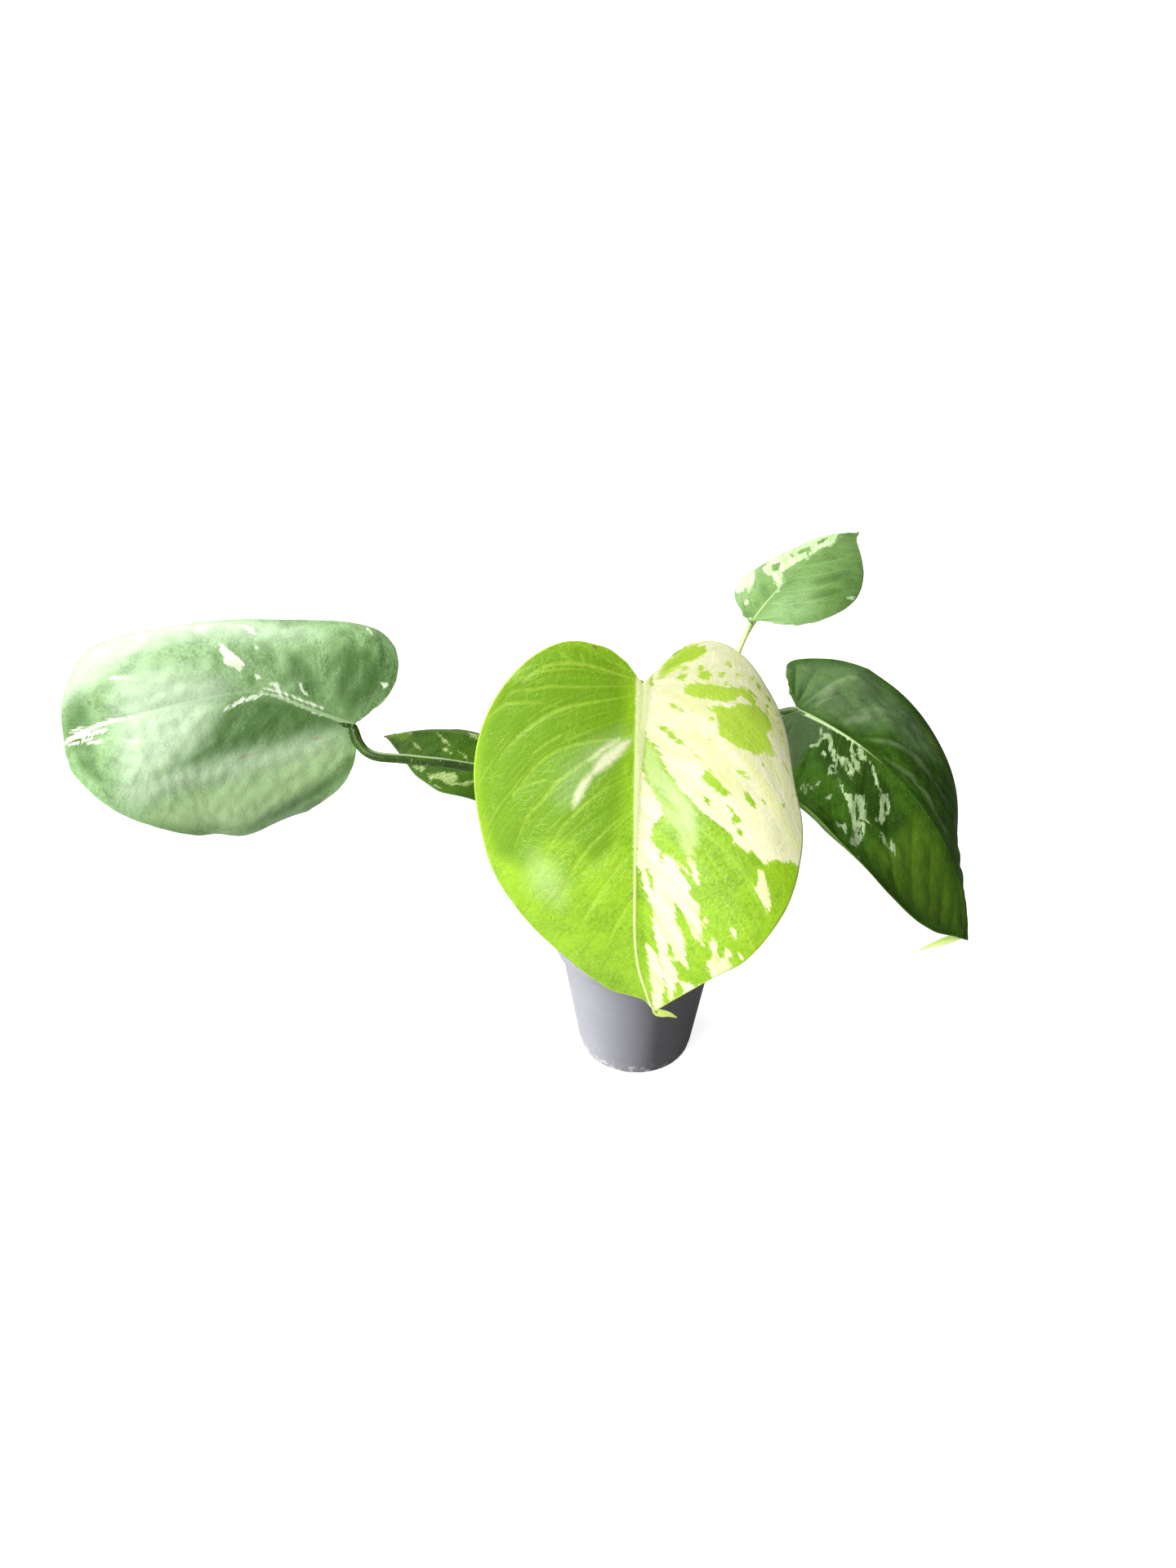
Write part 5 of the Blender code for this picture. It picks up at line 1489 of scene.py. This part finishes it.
# %% The stem
STEM_PATH = [(0, 0, 60.3), (0, 0, 92), (1, 2, 108), (0, 5, 124), (-1, 7, 140), (-1, 8, 151)]
STEM_RADII = [5.0, 5.8, 5.4, 5.2, 4.6, 3.4]
NODE_SPACING = 16.0
NODE_SWELL = 0.08
SHEATH_NODES = {"front": 151, "left": 136, "right": 126, "back": 116, "small": 110}
SHEATH_RADIUS = 4.0
SHEATH_ROOT = 6.0
SHEATH_BEND = 5  # how far below a stalk's foot its sheath turns to follow it
SHEATH_OVERLAP = 1.5  # how far a sheath reaches up over its stalk
SHEATH_SKIN = 0.35
STEM_RINGS, STEM_SIDES = 60, 32
SHEATH_RINGS, SHEATH_SIDES = 24, 24
STEM_VOXEL = 0.65  # size of the cubes in which the rods are melted together
STEM_SMOOTHING = 6
RING_DEPTH = 0.35
RING_GAP = 4.0
RING_HALF_WIDTH = 0.5
RING_WAVER = 1.5  # how far a ring runs up and down around the stem
RING_REACH = 8  # distance from the stem's axis within which it is ringed and lumpy
LUMP, LUMP_SIZE = 0.25, 4


def stem_axis(height):
    x, y, z = np.array(STEM_PATH, float).T
    return np.array([np.interp(height, z, x), np.interp(height, z, y), height])


def stem_material():
    """Green tissue that turns to brown cork towards the soil, fibrous and ringed."""
    material, board, shader = new_material("stem skin", {"Specular IOR Level": 0.4})
    place = board.place()
    patches = board.noise(place, 130.0, 4.0, 0.6)
    fibre = board.noise(board.stretch(place, (700.0, 700.0, 120.0)), 1.0, 4.0)
    aging = board.less(board.part(place, "Z"), board.times(patches, 0.03))
    cork = board.inverse(board.step(aging, 0.082, 0.108))
    light_fibre = board.step(fibre, 0.4, 0.65)
    green = board.mix(light_fibre, tint(96, 124, 48), tint(134, 160, 72))
    brown = board.mix(light_fibre, tint(96, 76, 48), tint(142, 120, 84))
    rings = board.put("TexWave", {"Vector": place, "Scale": 120.0, "Distortion": 2.5, "Detail": 2.0},
                      bands_direction="Z").outputs["Fac"]
    height = board.add(fibre, board.times(rings, 0.4))
    board.feed(shader, {"Base Color": board.mix(cork, green, brown),
                        "Roughness": board.add(0.42, board.times(cork, 0.35)),
                        "Normal": board.bump(height, 0.5, 0.0004)})
    return material


def stem_and_sheaths():
    """The rods that grow together into the stem: the stem's own, and a sheath up over each stalk's foot."""
    bm = bmesh.new()
    path = [(*place, radius) for place, radius in zip(STEM_PATH, STEM_RADII)]
    rod = smooth_line(path, np.linspace(0, 1, STEM_RINGS))
    swell = 1 + NODE_SWELL * np.cos((rod[:, 2] - STEM_PATH[2][2]) / NODE_SPACING * math.tau)
    sweep(bm, rod[:, :3], rod[:, 3] * swell, STEM_SIDES)
    for name, (points, radii) in STALKS.items():
        root = stem_axis(SHEATH_NODES[name] - SHEATH_ROOT)
        start, after = np.array(points[0], float), np.array(points[1], float)
        heading = (after - start) / np.linalg.norm(after - start)
        end = start + heading * SHEATH_OVERLAP
        line = smooth_line([root, start - heading * SHEATH_BEND, end], np.linspace(0, 1, SHEATH_RINGS))
        sweep(bm, line, np.linspace(SHEATH_RADIUS, radii[0] + SHEATH_SKIN, SHEATH_RINGS), SHEATH_SIDES)
    bmesh.ops.recalc_face_normals(bm, faces=bm.faces)
    return bm


def make_stem():
    rods = as_object("stem_rough", stem_and_sheaths())
    melt = rods.modifiers.new("Melt", "REMESH")
    melt.mode = "VOXEL"
    melt.voxel_size = STEM_VOXEL * MM
    even = rods.modifiers.new("Even", "SMOOTH")
    even.iterations = STEM_SMOOTHING
    bm = after_modifiers(rods)
    for vert in bm.verts:
        height = vert.co.z / MM
        away = vert.co - Vector(stem_axis(height)) * MM
        away.z = 0
        wavering = height + RING_WAVER * math.sin(math.atan2(away.y, away.x))
        ring = math.exp(-(((wavering % RING_GAP - RING_GAP / 2) / RING_HALF_WIDTH) ** 2))
        lump = noise.fractal(vert.co / (LUMP_SIZE * MM), 1.0, 2.0, 3) * LUMP
        if away.length < RING_REACH * MM:
            vert.co += vert.normal * (lump - RING_DEPTH * ring) * MM
    add_piece("ringed_stem", bm, [stem_material()], ["stem"])


make_stem()

# %% [markdown]
# ## Pot
#
# An 11 cm nursery pot is blown or injection moulded: one thin gray wall, a rolled lip, a rounded heel and
# drain holes in its floor. Its half section is spun, and the holes are cut through. The plastic is satin,
# with faint flow lines, dull scuffs around the heel and pale grit of dried soil scattered over it.

# %% The pot
POT_HEIGHT = 100.0
POT_TOP_RADIUS = 55.0
POT_BASE_RADIUS = 40.0
POT_WALL = 1.3
POT_FLOOR = 1.6
POT_HEEL = 3.0
LIP_HEIGHT = 9.0
LIP_REACH = 2.2
LIP_ROUND = 0.8
LIP_FILLET = (0.4, 0.5)  # width and height of the slope from the lip's underside to the wall
WALL_RINGS = 12
WALL_ENDS = (6, 4)  # how far below the lip and above the heel the wall's plain part ends
POT_SIDES = 144
DRAIN_RADIUS = 3.5
DRAIN_CIRCLE = 25.0
DRAIN_COUNT = 5


def wall_radius(z):
    return POT_BASE_RADIUS + (POT_TOP_RADIUS - POT_BASE_RADIUS) * z / POT_HEIGHT


def arc(center, radius, first, last, steps=6):
    """Points on an arc in the half section, from one angle in degrees to another."""
    return [(center[0] + radius * math.cos(math.radians(a)), center[1] + radius * math.sin(math.radians(a)))
            for a in np.linspace(first, last, steps)]


def spun(bm, profile, sides):
    corners = [bm.verts.new((x * MM, 0, z * MM)) for x, z in profile]
    edges = [bm.edges.new(pair) for pair in zip(corners, corners[1:])]
    bmesh.ops.spin(bm, geom=corners + edges, cent=(0, 0, 0), axis=(0, 0, 1), angle=math.tau, steps=sides,
                   use_merge=True)
    bmesh.ops.remove_doubles(bm, verts=bm.verts, dist=WELD)
    bmesh.ops.recalc_face_normals(bm, faces=bm.faces)


def pot_profile():
    lip_foot = POT_HEIGHT - LIP_HEIGHT
    inner_top, lip_radius = POT_TOP_RADIUS - POT_WALL, POT_TOP_RADIUS + LIP_REACH
    corner = wall_radius(POT_FLOOR + POT_HEEL) - POT_WALL - POT_HEEL
    inside = [(0, POT_FLOOR)] + arc((corner, POT_FLOOR + POT_HEEL), POT_HEEL, -90, 0)
    lip = arc((inner_top + LIP_ROUND, POT_HEIGHT - LIP_ROUND), LIP_ROUND, 180, 90)
    lip += arc((lip_radius - LIP_ROUND, POT_HEIGHT - LIP_ROUND), LIP_ROUND, 90, 0)
    lip += arc((lip_radius - LIP_ROUND, lip_foot + LIP_ROUND), LIP_ROUND, 0, -90)
    width, height = LIP_FILLET
    wall = [(wall_radius(lip_foot) + width, lip_foot), (wall_radius(lip_foot - height), lip_foot - height)]
    plain = np.linspace(lip_foot - WALL_ENDS[0], POT_HEEL + WALL_ENDS[1], WALL_RINGS)
    wall += [(wall_radius(z), z) for z in plain]
    heel = arc((POT_BASE_RADIUS - POT_HEEL, POT_HEEL), POT_HEEL, 0, -90)
    return inside + lip + wall + heel + [(0, 0)]


def pot_material():
    """Satin gray plastic with faint flow lines, scuffs low down and pale grit."""
    material, board, shader = new_material("pot plastic", {})
    place = board.place()
    clouds = board.noise(place, 26.0, 4.0, 0.6)
    flow = board.noise(board.stretch(place, (14.0, 14.0, 260.0)), 1.0, 3.0)
    scratches = board.noise(board.stretch(place, (60.0, 60.0, 1600.0)), 1.0, 2.0, 0.7)
    low = board.inverse(board.step(board.part(place, "Z"), 0.0, 0.016))
    scuff = board.times(low, board.step(board.noise(place, 240.0, 4.0, 0.7), 0.5, 0.62))
    grit = board.inverse(board.step(board.cells(place, 330.0), 0.05, 0.13))
    grit = board.times(grit, board.step(board.noise(place, 45.0, 2.0), 0.6, 0.7))
    color = board.mix(clouds, tint(68, 68, 72), tint(77, 77, 81))
    color = board.mix(board.times(board.step(flow, 0.5, 0.75), 0.2), color, tint(88, 88, 93))
    color = board.mix(board.times(scuff, 0.5), color, tint(176, 176, 176))
    color = board.mix(board.times(grit, 0.6), color, tint(206, 200, 190))
    rough = board.add(board.add(0.40, board.times(scratches, 0.16)), board.times(scuff, 0.2))
    height = board.add(board.noise(place, 900.0, 2.0), board.times(flow, 0.6))
    board.feed(shader, {"Base Color": color, "Roughness": rough, "Normal": board.bump(height, 0.12, 0.0003)})
    return material


def make_pot():
    bm = bmesh.new()
    spun(bm, pot_profile(), POT_SIDES)
    blank = as_object("blank", bm)
    bm = bmesh.new()
    for i in range(DRAIN_COUNT):
        angle = math.tau * (i + 0.5) / DRAIN_COUNT
        place = Matrix.Translation(Vector((math.cos(angle), math.sin(angle), 0)) * DRAIN_CIRCLE * MM)
        bmesh.ops.create_cone(bm, cap_ends=True, segments=32, radius1=DRAIN_RADIUS * MM,
                              radius2=DRAIN_RADIUS * MM, depth=10 * MM, matrix=place)
    drill = as_object("drill", bm)
    cut = blank.modifiers.new("Drain holes", "BOOLEAN")
    cut.operation = "DIFFERENCE"
    cut.solver = "EXACT"
    cut.object = drill
    drilled = after_modifiers(blank)
    bpy.data.objects.remove(drill, do_unlink=True)
    add_piece("nursery_pot", drilled, [pot_material()], ["pot"])


make_pot()

# %% [markdown]
# ## Potting mix
#
# Aroids are potted in a loose, airy mix: dark fibrous soil with chips of bark and white grains of perlite.
# The plug is spun from its half section with its top broken up by noise. Chips and grains are scattered on
# the top by a seeded draw, half sunk in, and a few coarse fibres lie between them.

# %% Soil, bark, perlite and fibres
SOIL_TOP = 88.0
SOIL_LUMP, SOIL_LUMP_SIZE = 1.6, 11.0
CRUMB, CRUMB_SIZE = 0.63, 2.6
STEM_FOOT, STEM_HOLE_RADIUS = 60.0, 6.2
SOIL_GAP = 0.3
SOIL_FALL = 2.5  # how far the soil falls off along the wall
SOIL_SLOPE = (49.0, 52.5)  # radii between which it does
SOIL_SHOULDER = (0.4, 4)  # how far in and down the plug's top edge is cut off
SOIL_RINGS = 46
SOIL_SIDES = 150
SOIL_SEED = 11
CHIPS, GRAINS, FIBRES = 230, 150, 70
SCATTER_RADII = (10.0, 48.0)
SCATTER_TILT = 0.5  # radians
FIBRE_LENGTHS = (5, 13)
FIBRE_BEND = 0.6
FIBRE_RADII = (0.14, 0.3)
FIBRE_LIFT = 0.25  # height of a fibre's middle over the soil
FIBRE_RINGS, FIBRE_SIDES = 7, 6


def soil_height(x, y):
    """Height of the soil's top, in millimetres."""
    place = Vector((x, y, SOIL_TOP))
    lumps = noise.fractal(place / SOIL_LUMP_SIZE, 1.0, 2.0, 3) * SOIL_LUMP
    crumbs = noise.fractal(place / CRUMB_SIZE, 1.0, 2.0, 2) * CRUMB
    fall = SOIL_FALL * float(rise(np.array(math.hypot(x, y)), *SOIL_SLOPE))
    return SOIL_TOP + lumps + crumbs - fall


def soil_material():
    """Dark crumbs with paler fibres between them, darker where it is damp."""
    material, board, shader = new_material("potting mix", {"Specular IOR Level": 0.25, "Roughness": 0.92})
    place = board.place()
    fine = board.noise(place, 1300.0, 4.0, 0.7)
    crumbs = board.noise(place, 320.0, 4.0, 0.65)
    damp = board.noise(place, 30.0, 3.0)
    color = board.mix(board.step(crumbs, 0.35, 0.7), tint(38, 28, 22), tint(88, 66, 48))
    color = board.mix(board.times(board.step(fine, 0.58, 0.72), 0.5), color, tint(140, 112, 82))
    color = board.mix(board.times(board.step(damp, 0.45, 0.7), 0.4), color, tint(30, 22, 18))
    height = board.add(crumbs, board.times(fine, 0.6))
    board.feed(shader, {"Base Color": color, "Normal": board.bump(height, 0.9, 0.0012)})
    return material


def grain_material(name, dark, light, rough):
    """Chips and grains share a mottled, matt surface."""
    material, board, shader = new_material(name, {"Roughness": rough, "Specular IOR Level": 0.3})
    grain = board.noise(board.stretch(board.place(), (1.0, 1.0, 2.2)), 420.0, 5.0, 0.7)
    shade = board.noise(board.place(), 75.0, 1.0)
    mixed = board.mix(board.step(board.add(grain, shade), 0.75, 1.25), dark, light)
    board.feed(shader, {"Base Color": mixed, "Normal": board.bump(grain, 0.7, 0.0006)})
    return material


def make_soil():
    bm = bmesh.new()
    floor_z, gap = POT_FLOOR + SOIL_GAP, POT_WALL + SOIL_GAP
    edge = wall_radius(SOIL_TOP) - gap - SOIL_SHOULDER[0]
    top = [(r, SOIL_TOP) for r in np.linspace(STEM_HOLE_RADIUS, edge, SOIL_RINGS)]
    plain = np.linspace(SOIL_TOP - SOIL_SHOULDER[1], floor_z + POT_HEEL, WALL_RINGS)
    side = [(wall_radius(z) - gap, z) for z in plain]
    profile = [(0, STEM_FOOT), (STEM_HOLE_RADIUS, STEM_FOOT)] + top + side
    spun(bm, profile + [(wall_radius(floor_z) - gap - POT_HEEL, floor_z), (0, floor_z)], SOIL_SIDES)
    for vert in bm.verts:
        if vert.co.z > (SOIL_TOP - 0.1) * MM:
            vert.co.z = soil_height(vert.co.x / MM, vert.co.y / MM) * MM
    add_piece("potting_mix", bm, [soil_material()], ["soil"])


def scattered(draw, count, sink):
    """Seeded places on the soil's top, clear of the stem and the wall."""
    near, far = SCATTER_RADII
    tilt = SCATTER_TILT
    for _ in range(count):
        radius = math.sqrt(draw.uniform(near**2, far**2))
        angle = draw.uniform(0, math.tau)
        x, y = radius * math.cos(angle), radius * math.sin(angle)
        turn = Euler((draw.uniform(-tilt, tilt), draw.uniform(-tilt, tilt), draw.uniform(0, math.tau)))
        yield Matrix.Translation(Vector((x, y, soil_height(x, y) - sink)) * MM) @ turn.to_matrix().to_4x4()


def make_scatter(name, count, size, flatness, roughness, sink, material):
    """Lumps of one sort, in one piece: each a small ball squashed, knocked about and laid on the soil."""
    draw = np.random.default_rng(SOIL_SEED + count)
    bm = bmesh.new()
    for place in scattered(draw, count, sink):
        span = draw.uniform(*size)
        narrow, flat = draw.uniform(0.45, 0.8), draw.uniform(0.7, 1.2)
        shape = Matrix.Diagonal((span, span * narrow, span * flatness * flat, 1))
        lump = bmesh.ops.create_icosphere(bm, subdivisions=2, radius=0.5 * MM, matrix=place @ shape)["verts"]
        offset = Vector(draw.uniform(-50, 50, 3))
        for vert in lump:
            knock = noise.noise(vert.co / MM / (0.35 * span) + offset)
            vert.co += (vert.co - place.translation) * knock * roughness
    add_piece(name, bm, [material])


def make_fibres():
    draw = np.random.default_rng(SOIL_SEED)
    bm = bmesh.new()
    for place in scattered(draw, FIBRES, 0.0):
        length, bend = draw.uniform(*FIBRE_LENGTHS), draw.uniform(-FIBRE_BEND, FIBRE_BEND)
        turn = place.to_3x3()
        points = []
        for share in np.linspace(-0.5, 0.5, FIBRE_RINGS):
            step = turn @ Vector((share * length, bend * share * share * length, 0))
            x, y = place.translation.x / MM + step.x, place.translation.y / MM + step.y
            points.append((x, y, soil_height(x, y) + FIBRE_LIFT))
        sweep(bm, np.array(points), np.full(FIBRE_RINGS, draw.uniform(*FIBRE_RADII)), FIBRE_SIDES)
    bmesh.ops.recalc_face_normals(bm, faces=bm.faces)
    material = grain_material("coir", tint(88, 60, 36), tint(150, 112, 70), 0.8)
    add_piece("coir_fibres", bm, [material])


make_soil()
make_scatter("bark_chips", CHIPS, (3.0, 8.5), 0.4, 0.55, 0.4,
             grain_material("bark", tint(58, 38, 24), tint(134, 94, 60), 0.85))
make_scatter("perlite_grains", GRAINS, (1.2, 3.4), 0.8, 0.35, 0.1,
             grain_material("perlite", tint(206, 202, 192), tint(244, 242, 236), 0.75))
make_fibres()

# %% Sizes, and the end
visual_box = [list(corner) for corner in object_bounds()]
print("frame box:", [[round(v / MM) for v in corner] for corner in cad_box])
print("visual box:", [[round(v / MM) for v in corner] for corner in visual_box])
